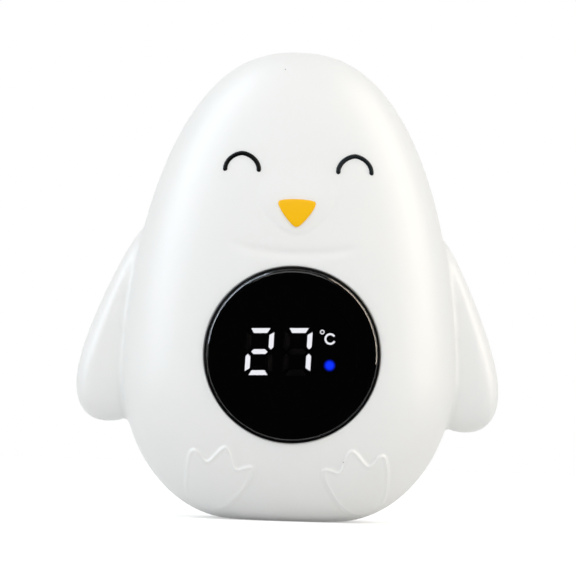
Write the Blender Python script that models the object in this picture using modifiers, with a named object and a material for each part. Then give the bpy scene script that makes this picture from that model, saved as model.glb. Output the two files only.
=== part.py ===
"""A baby bath thermometer in the form of a sitting penguin.

A soft silicone boot holds a sealed round core, which carries the display in front and the battery,
the probe and the water contacts behind. The penguin faces -Y and stands on its flat base at Z = 0.
"""

import math
from collections import namedtuple

import bmesh
import bpy
from mathutils import Matrix, Vector

MM = 0.001
GAP = 0.3 * MM  # between pieces that touch

# Penguin body
HEIGHT = 93.4 * MM
HALF_WIDTH = 33.2 * MM
FRONT_DEPTH = 23.5 * MM
BACK_DEPTH = 22.5 * MM
WIDEST_HEIGHT = 29.0 * MM
BASE_HALF_WIDTH = 10.0 * MM
BASE_HALF_DEPTH = 9.0 * MM
WALL = 2.6 * MM
CROWN_POWERS = (1.83, 2.39)
BELLY_POWERS = (1.92, 2.02)
SECTION_POWER = 2.6

# Flippers
FLIPPER_TOP = (27.5 * MM, 58.5 * MM)
FLIPPER_TIP = (36.5 * MM, 18.3 * MM)
FLIPPER_WIDTH = 11.4 * MM
FLIPPER_INNER_SHARE = 0.62
FLIPPER_THICKNESS = 10.5 * MM
FLIPPER_SET_BACK = 1.5 * MM

# Face
MUZZLE_SHARE = 0.7066  # height of the muzzle's middle, as a share of the whole
MUZZLE_HEIGHT = MUZZLE_SHARE * HEIGHT
MUZZLE_RADII = (7.2 * MM, 3.2 * MM, 9.0 * MM)
MUZZLE_SINK = 1.9 * MM
MUZZLE_LEAN = math.radians(7.0)
EYE_SPREAD = 11.3 * MM
EYE_RISE = 3.8 * MM
EYE_HEIGHT = MUZZLE_HEIGHT + EYE_RISE
EYE_RADIUS = 3.3 * MM
EYE_STROKE = 0.8 * MM
EYE_SINK = 0.1 * MM
BEAK_HALF_WIDTH = 3.4 * MM
BEAK_DROP = 2.7 * MM
BEAK_TOP = MUZZLE_HEIGHT - BEAK_DROP
BEAK_LENGTH = 4.2 * MM
BEAK_TIP = BEAK_TOP - BEAK_LENGTH
BEAK_CORNER = 0.45 * MM
BEAK_THICKNESS = 1.6 * MM
BEAK_RISE = 0.35 * MM

# Feet, as the outline of the penguin's left foot seen from the front
FOOT_RISE = 0.6 * MM
FOOT_REACH = 0.468  # how far back the foot pads go, as a share of the body's front depth
FOOT_UNIT = 1.0 * MM
FOOT_OUTLINE = [
    (19.4, 4.6), (20.1, 8.4), (19.6, 12.4), (18.8, 13.6), (17.9, 12.9), (16.2, 11.6), (14.2, 13.6),
    (12.8, 14.3), (11.7, 13.3), (10.3, 10.2), (8.4, 10.9), (7.3, 10.7), (7.4, 8.2), (9.3, 4.6),
    (12.2, 2.4), (14.6, 1.9), (17.4, 2.8),
]

# Core: a round can across the body, whose axis lies along Y
CORE_HEIGHT = 33.2 * MM
CORE_RADIUS = 23.0 * MM
CORE_WALL = 2.2 * MM
SPLIT_GASKET = 0.6 * MM

# Display end
RIM_RADIUS = 17.6 * MM
RIM_SET_BACK = 1.2 * MM
RIM_FRONT = RIM_SET_BACK - FRONT_DEPTH
RIM_LENGTH = 5.0 * MM
RIM_WALL = 0.7 * MM
LENS_THICKNESS = 2.0 * MM
LENS_PROUD = 0.8 * MM
LENS_EDGE = 0.9 * MM
TAPE_THICKNESS = 0.3 * MM
TAPE_WIDTH = 1.8 * MM
LEDGE_THICKNESS = 1.5 * MM
WINDOW_RADIUS = 13.0 * MM
FLANGE_RADIUS = 20.0 * MM
FLANGE_FRONT = RIM_FRONT + RIM_LENGTH
FRONT_TAPER_LENGTH = 5.3 * MM
FRONT_LIP = 2.1 * MM

# Display module
MODULE_RADIUS = 13.6 * MM
REFLECTOR_DEPTH = 5.9 * MM
EPOXY_SLAB = (23.0 * MM, 0.8 * MM, 13.0 * MM)
EPOXY_MARGIN = 0.1 * MM
DISPLAY_TURN = math.radians(1.95)  # the display sits turned a little in the penguin
DIGIT_WIDTH = 5.6 * MM
DIGIT_HEIGHT = 9.46 * MM
DIGIT_STROKE = 1.2 * MM
DIGIT_SLANT = math.radians(3.6)
DIGIT_CENTRES = [(-6.58 * MM, 0.52 * MM), (1.1 * MM, 0.52 * MM)]
OUTER_CUT = 0.8 * MM
INNER_CUT = 0.4 * MM
MIDDLE_REACH = 1.65 * MM
DEGREE_CENTRE = (5.94 * MM, 4.38 * MM)
DEGREE_RADIUS = 0.57 * MM
LETTER_CENTRE = (7.56 * MM, 3.03 * MM)
LETTER_RADIUS = 1.22 * MM
LETTER_STROKE = 0.55 * MM
LETTER_OPENING = (32, 334)
STATUS_CENTRE = (7.41 * MM, -2.25 * MM)
STATUS_RADIUS = 1.15 * MM
BOARD_THICKNESS = 1.2 * MM
BOARD_EAR_RADIUS = 2.4 * MM
BOARD_EAR_SPREAD = 16.6 * MM
CHIP_SIZE = (7.0 * MM, 1.4 * MM, 7.0 * MM)

# Rear end
REAR_SET_BACK = 3.6 * MM
REAR_FACE = BACK_DEPTH - REAR_SET_BACK
REAR_WALL = 2.0 * MM
NECK_RADIUS = 20.0 * MM
NECK_LENGTH = 4.3 * MM
SHOULDER = REAR_FACE - NECK_LENGTH
REAR_TAPER_LENGTH = 1.4 * MM
LIP_REACH = 3.2 * MM
REAR_LIP = 2.7 * MM
SCREW_CIRCLE = 16.4 * MM
SCREW_ANGLES = [20.0, 160.0, 222.0, 318.0]
SCREW_HEAD_RADIUS = 1.7 * MM
SCREW_HEAD_HEIGHT = 1.4 * MM
SCREW_SHANK_RADIUS = 0.8 * MM
SCREW_LENGTH = 10.0 * MM
SCREW_SEAT = 4.6 * MM
COLUMN_WALL = 1.3 * MM

# Battery bay
CELL_RADIUS = 10.0 * MM
CELL_THICKNESS = 3.2 * MM
CELL_PLAY = 0.5 * MM
CELL_CHAMFER = 0.3 * MM
CELL_CRIMP = 1.2 * MM
BAY_RISE = 6.4 * MM
BAY_DEPTH = 9.9 * MM
BAY_FLOOR = REAR_FACE - BAY_DEPTH
BAY_WALL = 1.0 * MM
TUB_WALL = 1.2 * MM
SPRING_HEIGHT = 0.8 * MM
CONTACT_SHEET = 0.25 * MM
CLIP_WIDTH = 3.0 * MM
CLIP_PRESS = 0.2 * MM
SPRING_WIDTH = 0.8 * MM
SPRING_HEEL = 3.0 * MM
SPRING_REACH = 6.0 * MM
TAIL_WIDTH = 0.6 * MM
TAIL_REACH = 2.0 * MM
DOOR_RADIUS = 11.8 * MM
DOOR_THICKNESS = 1.5 * MM
DOOR_GASKET = 0.6 * MM
DOOR_TAB_HALF_WIDTH = 3.2 * MM
DOOR_SCREW_DROP = 7.2 * MM
DOOR_SCREW_LENGTH = 6.0 * MM
BOARD_SCREW_LENGTH = 3.0 * MM

# Probe and water contacts
PROBE_DROP = 14.0 * MM
PROBE_RADIUS = 2.6 * MM
PROBE_FLANGE_RADIUS = 3.4 * MM
PROBE_WALL = 0.4 * MM
PROBE_PROUD = 1.2 * MM
PROBE_ROUND = 0.2 * MM
SEAL_THICKNESS = 1.2 * MM
THERMISTOR_RADIUS = 1.1 * MM
WATER_CONTACT = (7.4 * MM, 13.4 * MM)
WATER_CONTACT_RADIUS = 1.2 * MM
WATER_CONTACT_PROUD = 0.5 * MM
CONTACT_TAIL = 2.0 * MM
WIRE_RADIUS = 0.5 * MM
LEAD_RADIUS = 0.25 * MM
WIRE_RUN = 3.0 * MM  # how far a wire runs straight from its end
PROBE_LEAD_LANDING = 10.0 * MM  # where wires meet the board, from the core's axis
CONTACT_WIRE_LANDING = 8.0 * MM
BATTERY_WIRE_LANDING = 9.0 * MM

# The surface of each piece: colour, roughness, metallic
FINISHES = {
    "white_silicone": ((0.86, 0.87, 0.87), 0.5, 0.0),
    "black_silicone": ((0.015, 0.018, 0.02), 0.5, 0.0),
    "yellow_silicone": ((0.96, 0.52, 0.01), 0.5, 0.0),
    "smoked_acrylic": ((0.01, 0.01, 0.012), 0.05, 0.0),
    "black_plastic": ((0.012, 0.012, 0.013), 0.35, 0.0),
    "white_plastic": ((0.8, 0.8, 0.78), 0.4, 0.0),
    "milky_epoxy": ((0.75, 0.75, 0.72), 0.5, 0.0),
    "foam_tape": ((0.02, 0.02, 0.02), 0.9, 0.0),
    "green_laminate": ((0.02, 0.16, 0.06), 0.4, 0.0),
    "grey_rubber": ((0.2, 0.2, 0.21), 0.8, 0.0),
    "steel": ((0.6, 0.6, 0.6), 0.3, 1.0),
    "nickel": ((0.66, 0.64, 0.6), 0.25, 1.0),
    "red_insulation": ((0.6, 0.02, 0.02), 0.5, 0.0),
    "black_insulation": ((0.02, 0.02, 0.02), 0.5, 0.0),
    "thermistor_glass": ((0.25, 0.1, 0.05), 0.2, 0.0),
}

BodySize = namedtuple("BodySize", "half_width front back base_width base_depth low high")


def clear_scene():
    for thing in list(bpy.data.objects):
        bpy.data.objects.remove(thing, do_unlink=True)


def new_collection(name):
    made = bpy.data.collections.new(name)
    bpy.context.scene.collection.children.link(made)
    return made


def finish(name):
    """The named material, made the first time it is asked for."""
    material = bpy.data.materials.get(name)
    if material:
        return material
    colour, roughness, metallic = FINISHES[name]
    material = bpy.data.materials.new(name)
    material.use_nodes = True
    shader = material.node_tree.nodes["Principled BSDF"]
    shader.inputs["Base Color"].default_value = (*colour, 1.0)
    shader.inputs["Roughness"].default_value = roughness
    shader.inputs["Metallic"].default_value = metallic
    material.diffuse_color = (*colour, 1.0)
    return material


clear_scene()
PIECES = new_collection("bath_thermometer")
CUTTERS = new_collection("cutters")


def place(name, mesh, surface):
    """An object for this mesh: a piece if it has a surface finish, or else a hidden helper."""
    thing = bpy.data.objects.new(name, mesh)
    if surface:
        mesh.materials.append(finish(surface))
        PIECES.objects.link(thing)
    else:
        thing.hide_render = True
        thing.display_type = "WIRE"
        CUTTERS.objects.link(thing)
    return thing


def mesh_from(bm, name):
    mesh = bpy.data.meshes.new(name)
    bm.to_mesh(mesh)
    bm.free()
    return mesh


def boolean(thing, operation, tool):
    modifier = thing.modifiers.new(f"{operation.lower()} {tool.name}", "BOOLEAN")
    modifier.operation = operation
    modifier.solver = "EXACT"
    modifier.object = tool


def round_shading(thing):
    thing.data.shade_smooth()
    thing.data.set_sharp_from_angle(angle=math.radians(35))


def turned(name, outline, surface, steps=32, closed=False, x=0.0, z=CORE_HEIGHT):
    """A shape turned about a line along Y. The outline holds (radius, y) and runs back to front outside."""
    bm = bmesh.new()
    points = [bm.verts.new((radius, 0.0, y)) for radius, y in outline]
    for first, second in zip(points, points[1:]):
        bm.edges.new((first, second))
    if closed:
        bm.edges.new((points[-1], points[0]))
    thing = place(name, mesh_from(bm, name), surface)
    thing.location = (x, 0.0, z)
    thing.rotation_euler = (math.radians(-90), 0.0, 0.0)
    screw = thing.modifiers.new("turn", "SCREW")
    screw.steps = screw.render_steps = steps
    screw.use_merge_vertices = True
    screw.merge_threshold = 0.00001
    screw.use_smooth_shade = True
    return thing


def ring(name, inner, outer, front, back, surface, steps=32, x=0.0, z=CORE_HEIGHT):
    outline = [(inner, back), (outer, back), (outer, front), (inner, front)]
    return turned(name, outline, surface, steps, True, x, z)


def rod(name, radius, front, back, surface=None, sides=20, x=0.0, z=CORE_HEIGHT):
    """A round bar along Y."""
    bm = bmesh.new()
    bmesh.ops.create_cone(
        bm, cap_ends=True, segments=sides, radius1=radius, radius2=radius, depth=back - front
    )
    thing = place(name, mesh_from(bm, name), surface)
    thing.location = (x, (front + back) / 2, z)
    thing.rotation_euler = (math.radians(90), 0.0, 0.0)
    if surface:
        round_shading(thing)
    return thing


def block(name, size, middle, surface=None):
    bm = bmesh.new()
    bmesh.ops.create_cube(bm, size=1.0, matrix=Matrix.Translation(middle) @ Matrix.Diagonal((*size, 1.0)))
    return place(name, mesh_from(bm, name), surface)


def slab(name, outline, front, back, surface=None):
    """A flat outline of (x, z) points, thick along Y."""
    return slabs(name, [outline], front, back, surface)


def slabs(name, outlines, front, back, surface=None):
    bm = bmesh.new()
    for outline in outlines:
        face = bm.faces.new([bm.verts.new((x, front, z)) for x, z in outline])
        grown = bmesh.ops.extrude_face_region(bm, geom=[face])["geom"]
        moved = [part for part in grown if isinstance(part, bmesh.types.BMVert)]
        bmesh.ops.translate(bm, verts=moved, vec=(0.0, back - front, 0.0))
    bmesh.ops.recalc_face_normals(bm, faces=bm.faces)
    return place(name, mesh_from(bm, name), surface)


def tube(name, route, radius, surface=None, closed_mesh=False):
    """A wire along the route. A closed mesh is one that can cut or be cut."""
    curve = bpy.data.curves.new(name, "CURVE")
    curve.dimensions = "3D"
    curve.bevel_depth = radius
    curve.bevel_resolution = 2
    curve.use_fill_caps = True
    line = curve.splines.new("POLY")
    line.points.add(len(route) - 1)
    for point, place_at in zip(line.points, route):
        point.co = (*place_at, 1.0)
    thing = place(name, curve, surface)
    if not closed_mesh:
        return thing
    bpy.context.view_layer.update()
    made = bpy.data.meshes.new_from_object(thing.evaluated_get(bpy.context.evaluated_depsgraph_get()))
    bm = bmesh.new()
    bm.from_mesh(made)
    bmesh.ops.remove_doubles(bm, verts=bm.verts, dist=0.000001)
    bmesh.ops.recalc_face_normals(bm, faces=bm.faces)
    bm.to_mesh(made)
    bm.free()
    bpy.data.objects.remove(thing, do_unlink=True)
    bpy.data.curves.remove(curve)
    made.materials.clear()
    return place(name, made, surface)


def smooth_route(corners, count):
    """Points along one smooth curve from the first corner to the last."""
    first = [Vector(corner) for corner in corners]
    padded = [2 * first[0] - first[1], *first, 2 * first[-1] - first[-2]]
    route = []
    for step in range(count + 1):
        along = step / count * (len(first) - 1)
        span = min(int(along), len(first) - 2)
        t = along - span
        a, b, c, d = padded[span : span + 4]
        route.append(
            0.5 * (2 * b + (c - a) * t + (2 * a - 5 * b + 4 * c - d) * t**2 + (3 * b - a - 3 * c + d) * t**3)
        )
    return route


def arc(centre, radius, start, end, steps):
    """Points (x, z) round a centre, with angles in degrees."""
    angles = [math.radians(start + (end - start) * step / steps) for step in range(steps + 1)]
    return [(centre[0] + radius * math.cos(a), centre[1] + radius * math.sin(a)) for a in angles]


# Penguin body

OUTSIDE = BodySize(
    HALF_WIDTH, FRONT_DEPTH, BACK_DEPTH, BASE_HALF_WIDTH, BASE_HALF_DEPTH, 0.0, HEIGHT
)


def body_inside(wall):
    """The body's surface moved in by a wall, or out by a negative one."""
    return BodySize(
        HALF_WIDTH - wall, FRONT_DEPTH - wall, BACK_DEPTH - wall, BASE_HALF_WIDTH - wall,
        BASE_HALF_DEPTH - wall, wall, HEIGHT - wall,
    )


def body_half_sizes(size, z):
    """Half width, front depth and back depth of the body at a height."""
    share = min(max((z - size.low) / (size.high - size.low), 0.0), 1.0)
    widest = WIDEST_HEIGHT / HEIGHT
    if share >= widest:
        rise, roundness = CROWN_POWERS
        fullness = (1 - ((share - widest) / (1 - widest)) ** rise) ** (1 / roundness)
        return size.half_width * fullness, size.front * fullness, size.back * fullness
    rise, roundness = BELLY_POWERS
    fullness = (1 - (1 - share / widest) ** rise) ** (1 / roundness)
    return (
        size.base_width + (size.half_width - size.base_width) * fullness,
        size.base_depth + (size.front - size.base_depth) * fullness,
        size.base_depth + (size.back - size.base_depth) * fullness,
    )


def front_surface(x, z):
    half_width, front, _ = body_half_sizes(OUTSIDE, z)
    return -front * (1 - min(abs(x) / half_width, 1.0) ** SECTION_POWER) ** (1 / SECTION_POWER)


def shaped_body(name, size, segments, rings, surface=None):
    """A sphere pulled to the penguin's outline. Its lowest ring lies flat and makes the base."""
    bm = bmesh.new()
    bmesh.ops.create_uvsphere(bm, u_segments=segments, v_segments=rings, radius=1.0)
    lowest = 1 / rings
    for vert in bm.verts:
        direction = vert.co.normalized()
        latitude = 0.5 + math.asin(max(-1.0, min(1.0, direction.z))) / math.pi
        share = max(0.0, (latitude - lowest) / (1 - lowest))
        z = size.low + (size.high - size.low) * (1 - math.cos(math.pi * share)) / 2
        half_width, front, back = body_half_sizes(size, z)
        across, along = direction.x, direction.y
        length = math.hypot(across, along)
        if length < 0.0001:
            vert.co = (0.0, 0.0, z)
            continue
        turn = (abs(across / length), abs(along / length))
        x = math.copysign(turn[0] ** (2 / SECTION_POWER), across) * half_width
        y = math.copysign(turn[1] ** (2 / SECTION_POWER), along) * (front if along < 0 else back)
        vert.co = (x, y, z)
    body = place(name, mesh_from(bm, name), surface)
    body.data.shade_smooth()
    return body


def flipper(name, side):
    """A flat drop whose upper end sinks into the shoulder. Side is 1 at +X and -1 at -X."""
    top, tip = Vector(FLIPPER_TOP), Vector(FLIPPER_TIP)
    outward = Vector((top.y - tip.y, tip.x - top.x)).normalized()
    bm = bmesh.new()
    bmesh.ops.create_uvsphere(bm, u_segments=18, v_segments=13, radius=1.0)
    for vert in bm.verts:
        direction = vert.co.normalized()
        along = (1 - direction.z) / 2
        length = max(math.hypot(direction.x, direction.y), 0.0001)
        width = FLIPPER_WIDTH * along**0.57 * math.sqrt(max(0.0, 1 - along**4))
        thickness = FLIPPER_THICKNESS / 2 * math.sqrt(max(0.0, 1 - (2 * along - 1) ** 4))
        across = width * direction.x / length
        if across < 0:
            across *= FLIPPER_INNER_SHARE
        x, z = top + (tip - top) * along + outward * across
        vert.co = (side * x, FLIPPER_SET_BACK + thickness * direction.y / length, z)
    bmesh.ops.remove_doubles(bm, verts=bm.verts, dist=0.000001)
    bmesh.ops.recalc_face_normals(bm, faces=bm.faces)
    return place(name, mesh_from(bm, name), None)


def muzzle(name, swell):
    """The low swelling that carries the beak, leaning back with the face."""
    lean = math.atan2(
        front_surface(0, MUZZLE_HEIGHT + MUZZLE_RADII[2]) - front_surface(0, MUZZLE_HEIGHT - MUZZLE_RADII[2]),
        2 * MUZZLE_RADII[2],
    )
    bm = bmesh.new()
    bmesh.ops.create_uvsphere(bm, u_segments=24, v_segments=14, radius=1.0)
    radii = [radius + swell for radius in MUZZLE_RADII]
    bmesh.ops.transform(bm, matrix=Matrix.Diagonal((*radii, 1.0)), verts=bm.verts)
    thing = place(name, mesh_from(bm, name), None)
    thing.location = (0.0, front_surface(0, MUZZLE_HEIGHT) + MUZZLE_SINK, MUZZLE_HEIGHT)
    thing.rotation_euler = (-lean - MUZZLE_LEAN, 0.0, 0.0)
    return thing


def beak_outline(margin):
    """A triangle that points down, with round corners."""
    corners = [
        (-BEAK_HALF_WIDTH, BEAK_TOP, 90, 210),
        (0.0, BEAK_TIP, 210, 330),
        (BEAK_HALF_WIDTH, BEAK_TOP, -30, 90),
    ]
    outline = []
    for x, z, start, end in corners:
        outline += arc((x, z), BEAK_CORNER + margin, start, end, 4)
    return outline


def eye_route(side):
    route = []
    for x, z in arc((side * EYE_SPREAD, EYE_HEIGHT), EYE_RADIUS, 180, 0, 12):
        route.append((x, front_surface(x, z) + EYE_SINK, z))
    return route


def silicone_body():
    boot = shaped_body("silicone_body", OUTSIDE, 44, 28, "white_silicone")
    for side, word in ((1, "left"), (-1, "right")):
        boolean(boot, "UNION", flipper(f"{word}_flipper_form", side))
        outline = [(side * x * FOOT_UNIT, z * FOOT_UNIT) for x, z in FOOT_OUTLINE]
        foot = slab(f"{word}_foot_form", outline, -FRONT_DEPTH - WALL, -FOOT_REACH * FRONT_DEPTH)
        boolean(foot, "INTERSECT", shaped_body(f"{word}_foot_skin", body_inside(-FOOT_RISE), 44, 28))
        boolean(boot, "UNION", foot)
    boolean(boot, "UNION", muzzle("muzzle_form", 0.0))
    pocket_floor = front_surface(0, BEAK_TOP) + MUZZLE_SINK
    boolean(boot, "DIFFERENCE", slab("beak_pocket", beak_outline(GAP), -2 * FRONT_DEPTH, pocket_floor))
    for side, word in ((1, "left"), (-1, "right")):
        groove = tube(f"{word}_eye_groove", eye_route(side), EYE_STROKE / 2 + GAP, closed_mesh=True)
        boolean(boot, "DIFFERENCE", groove)
    lip_back = FLANGE_FRONT - GAP
    front_lip = ring(
        "front_lip_form", RIM_RADIUS - WALL, FLANGE_RADIUS, lip_back - FRONT_LIP, lip_back, None
    )
    lip_front = SHOULDER + GAP
    rear_lip = ring(
        "rear_lip_form", NECK_RADIUS - WALL, NECK_RADIUS + LIP_REACH, lip_front, lip_front + REAR_LIP, None
    )
    boolean(boot, "DIFFERENCE", shaped_body("hollow_form", body_inside(WALL), 24, 14))
    boolean(boot, "UNION", front_lip)
    boolean(boot, "UNION", rear_lip)
    boolean(boot, "DIFFERENCE", rod("front_opening", RIM_RADIUS + GAP, -2 * FRONT_DEPTH, 0.0, sides=40))
    boolean(boot, "DIFFERENCE", rod("rear_opening", NECK_RADIUS + GAP, 0.0, 2 * BACK_DEPTH, sides=40))


def eyes_and_beak():
    for side, word in ((1, "left"), (-1, "right")):
        tube(f"{word}_eye", eye_route(side), EYE_STROKE / 2, "black_silicone")
    back = front_surface(0, BEAK_TOP) + MUZZLE_SINK - GAP
    beak = slab("beak", beak_outline(0.0), back - 2 * BEAK_THICKNESS, back, "yellow_silicone")
    boolean(beak, "INTERSECT", muzzle("beak_skin", BEAK_RISE))


# Core, front half

LENS_RADIUS = RIM_RADIUS - RIM_WALL - GAP
LENS_FRONT = RIM_FRONT - LENS_PROUD
LENS_BACK = LENS_FRONT + LENS_THICKNESS
TAPE_FRONT = LENS_BACK + GAP
LEDGE_FRONT = TAPE_FRONT + TAPE_THICKNESS + GAP
LEDGE_BACK = LEDGE_FRONT + LEDGE_THICKNESS
SPLIT = SPLIT_GASKET / 2 + GAP
REFLECTOR_FRONT = LEDGE_BACK + GAP
REFLECTOR_BACK = REFLECTOR_FRONT + REFLECTOR_DEPTH
BOARD_FRONT = REFLECTOR_BACK + GAP
BOARD_BACK = BOARD_FRONT + BOARD_THICKNESS
CORE_FRONT_TAPER = FLANGE_FRONT + FRONT_TAPER_LENGTH
CORE_BACK_TAPER = SHOULDER - REAR_TAPER_LENGTH
COLUMN_RADIUS = SCREW_SHANK_RADIUS + GAP + COLUMN_WALL
SCREW_HOLE_END = SCREW_SEAT - SCREW_LENGTH - 4 * GAP
SCREW_PLACES = [
    (SCREW_CIRCLE * math.cos(math.radians(angle)), CORE_HEIGHT + SCREW_CIRCLE * math.sin(math.radians(angle)))
    for angle in SCREW_ANGLES
]
BOARD_SCREW_PLACES = {"top": CORE_HEIGHT + BOARD_EAR_SPREAD, "bottom": CORE_HEIGHT - BOARD_EAR_SPREAD}


def display_lens():
    corner = arc((LENS_RADIUS - LENS_EDGE, LENS_FRONT + LENS_EDGE), LENS_EDGE, 0, -90, 4)
    outline = [(0.0, LENS_BACK), (LENS_RADIUS, LENS_BACK), *corner, (0.0, LENS_FRONT)]
    turned("display_lens", outline, "smoked_acrylic", steps=40)
    ring(
        "lens_tape", LENS_RADIUS - GAP - TAPE_WIDTH, LENS_RADIUS - GAP, TAPE_FRONT,
        TAPE_FRONT + TAPE_THICKNESS, "foam_tape",
    )


def front_housing():
    seat = RIM_RADIUS - RIM_WALL
    inner = CORE_RADIUS - CORE_WALL
    throat = RIM_RADIUS - RIM_WALL / 2
    outline = [
        (CORE_RADIUS, -SPLIT), (CORE_RADIUS, CORE_FRONT_TAPER), (FLANGE_RADIUS, FLANGE_FRONT),
        (RIM_RADIUS, FLANGE_FRONT), (RIM_RADIUS, RIM_FRONT), (seat, RIM_FRONT), (seat, LEDGE_FRONT),
        (WINDOW_RADIUS, LEDGE_FRONT), (WINDOW_RADIUS, LEDGE_BACK), (throat - GAP, LEDGE_BACK),
        (throat, FLANGE_FRONT + CORE_WALL), (inner, CORE_FRONT_TAPER + CORE_WALL / 2), (inner, -SPLIT),
    ]
    housing = turned("front_housing", outline, "black_plastic", steps=40, closed=True)
    for number, (x, z) in enumerate(SCREW_PLACES, 1):
        column = rod(
            f"front_column_{number}", COLUMN_RADIUS, FLANGE_FRONT + GAP, -SPLIT, x=x, z=z, sides=14
        )
        boolean(housing, "UNION", column)
        hole = rod(
            f"front_screw_hole_{number}", SCREW_SHANK_RADIUS + GAP, SCREW_HOLE_END, GAP, x=x, z=z, sides=12
        )
        boolean(housing, "DIFFERENCE", hole)
    for word, z in BOARD_SCREW_PLACES.items():
        post = rod(f"{word}_board_post", COLUMN_RADIUS, FLANGE_FRONT + GAP, BOARD_FRONT - GAP, z=z, sides=14)
        boolean(housing, "UNION", post)
        hole = rod(
            f"{word}_post_hole", SCREW_SHANK_RADIUS + GAP, FLANGE_FRONT + 3 * GAP, BOARD_FRONT, z=z, sides=10
        )
        boolean(housing, "DIFFERENCE", hole)


# Display module

def digit_segments(margin):
    """The seven bars of one digit as outlines round its middle, each grown by a margin."""
    half_width = DIGIT_WIDTH / 2 + margin
    half_height = DIGIT_HEIGHT / 2 + margin
    stroke = DIGIT_STROKE + 2 * margin
    outer_cut = OUTER_CUT - 1.5 * margin
    inner_cut = INNER_CUT - 1.5 * margin
    reach = MIDDLE_REACH + 1.5 * margin
    end_bar = [
        (outer_cut - half_width, half_height), (half_width - outer_cut, half_height),
        (half_width - stroke - inner_cut, half_height - stroke),
        (stroke + inner_cut - half_width, half_height - stroke),
    ]
    side_bar = [
        (half_width, half_height - outer_cut), (half_width, stroke / 2 + inner_cut),
        (half_width - stroke / 2, inner_cut), (half_width - stroke, stroke / 2 + inner_cut),
        (half_width - stroke, half_height - stroke - inner_cut),
    ]
    middle_bar = [
        (-reach, 0.0), (stroke / 2 - reach, stroke / 2), (reach - stroke / 2, stroke / 2),
        (reach, 0.0), (reach - stroke / 2, -stroke / 2), (stroke / 2 - reach, -stroke / 2),
    ]
    bars = [middle_bar]
    for up in (1, -1):
        bars.append([(x, up * z) for x, z in end_bar])
        bars += [[(side * x, up * z) for x, z in side_bar] for side in (1, -1)]
    return bars


def segment_outlines(margin):
    """The windows of the display as outlines of (x, z): two slanted digits, a degree sign, a C and a dot."""
    outlines = []
    for centre_x, centre_z in DIGIT_CENTRES:
        for bar in digit_segments(margin):
            outlines.append([(x + z * math.tan(DIGIT_SLANT) + centre_x, z + centre_z) for x, z in bar])
    outlines.append(arc(DEGREE_CENTRE, DEGREE_RADIUS + margin, 0, 360, 10)[:-1])
    start, end = LETTER_OPENING
    outer = arc(LETTER_CENTRE, LETTER_RADIUS + margin, start, end, 12)
    inner = arc(LETTER_CENTRE, LETTER_RADIUS - LETTER_STROKE - margin, end, start, 12)
    outlines.append(outer + inner)
    outlines.append(arc(STATUS_CENTRE, STATUS_RADIUS + margin, 0, 360, 16)[:-1])
    turn = Matrix.Rotation(DISPLAY_TURN, 2)
    axis = Vector((0.0, CORE_HEIGHT))
    return [[tuple(turn @ Vector(point) + axis) for point in outline] for outline in outlines]


def display_module():
    reflector = rod(
        "reflector_block", MODULE_RADIUS, REFLECTOR_FRONT, REFLECTOR_BACK, "black_plastic", sides=32
    )
    width, depth, height = EPOXY_SLAB
    pocket_front = REFLECTOR_BACK - depth - GAP
    pocket_size = (width + 2 * GAP, 2 * (depth + GAP), height + 2 * GAP)
    boolean(reflector, "DIFFERENCE", block("epoxy_pocket", pocket_size, (0.0, REFLECTOR_BACK, CORE_HEIGHT)))
    windows = slabs(
        "segment_windows", segment_outlines(EPOXY_MARGIN), REFLECTOR_FRONT - GAP, pocket_front + GAP
    )
    boolean(reflector, "DIFFERENCE", windows)
    epoxy = block(
        "segment_epoxy", EPOXY_SLAB, (0.0, REFLECTOR_BACK - depth / 2, CORE_HEIGHT), "milky_epoxy"
    )
    pillars = slabs("segment_pillars", segment_outlines(0.0), REFLECTOR_FRONT, REFLECTOR_BACK - depth / 2)
    boolean(epoxy, "UNION", pillars)
    board = rod("display_board", MODULE_RADIUS, BOARD_FRONT, BOARD_BACK, "green_laminate", sides=32)
    bridge_size = (2 * BOARD_EAR_RADIUS, BOARD_THICKNESS, 2 * BOARD_EAR_SPREAD)
    bridge_middle = (0.0, (BOARD_FRONT + BOARD_BACK) / 2, CORE_HEIGHT)
    boolean(board, "UNION", block("board_bridge", bridge_size, bridge_middle))
    for word, z in BOARD_SCREW_PLACES.items():
        boolean(board, "UNION", rod(f"{word}_board_ear", BOARD_EAR_RADIUS, BOARD_FRONT, BOARD_BACK, z=z))
        hole = rod(
            f"{word}_board_hole", SCREW_SHANK_RADIUS + GAP, BOARD_FRONT - GAP, BOARD_BACK + GAP, z=z, sides=12
        )
        boolean(board, "DIFFERENCE", hole)
        screw(f"board_screw_{word}", BOARD_BACK + GAP, BOARD_THICKNESS + BOARD_SCREW_LENGTH, 0.0, z)
    chip_middle = (0.0, BOARD_BACK + GAP + CHIP_SIZE[1] / 2, CORE_HEIGHT)
    block("controller_chip", CHIP_SIZE, chip_middle, "black_plastic")


def screw(name, seat, length, x, z):
    """A pan-head screw whose head rests on the seat and whose shank points to the front."""
    top = seat + SCREW_HEAD_HEIGHT
    outline = [
        (0.0, top), (SCREW_HEAD_RADIUS * 0.7, top), (SCREW_HEAD_RADIUS, seat + SCREW_HEAD_HEIGHT * 0.5),
        (SCREW_HEAD_RADIUS, seat), (SCREW_SHANK_RADIUS, seat),
        (SCREW_SHANK_RADIUS, seat - length + SCREW_SHANK_RADIUS), (0.0, seat - length),
    ]
    turned(name, outline, "steel", steps=12, x=x, z=z)


# Core, rear half

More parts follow.
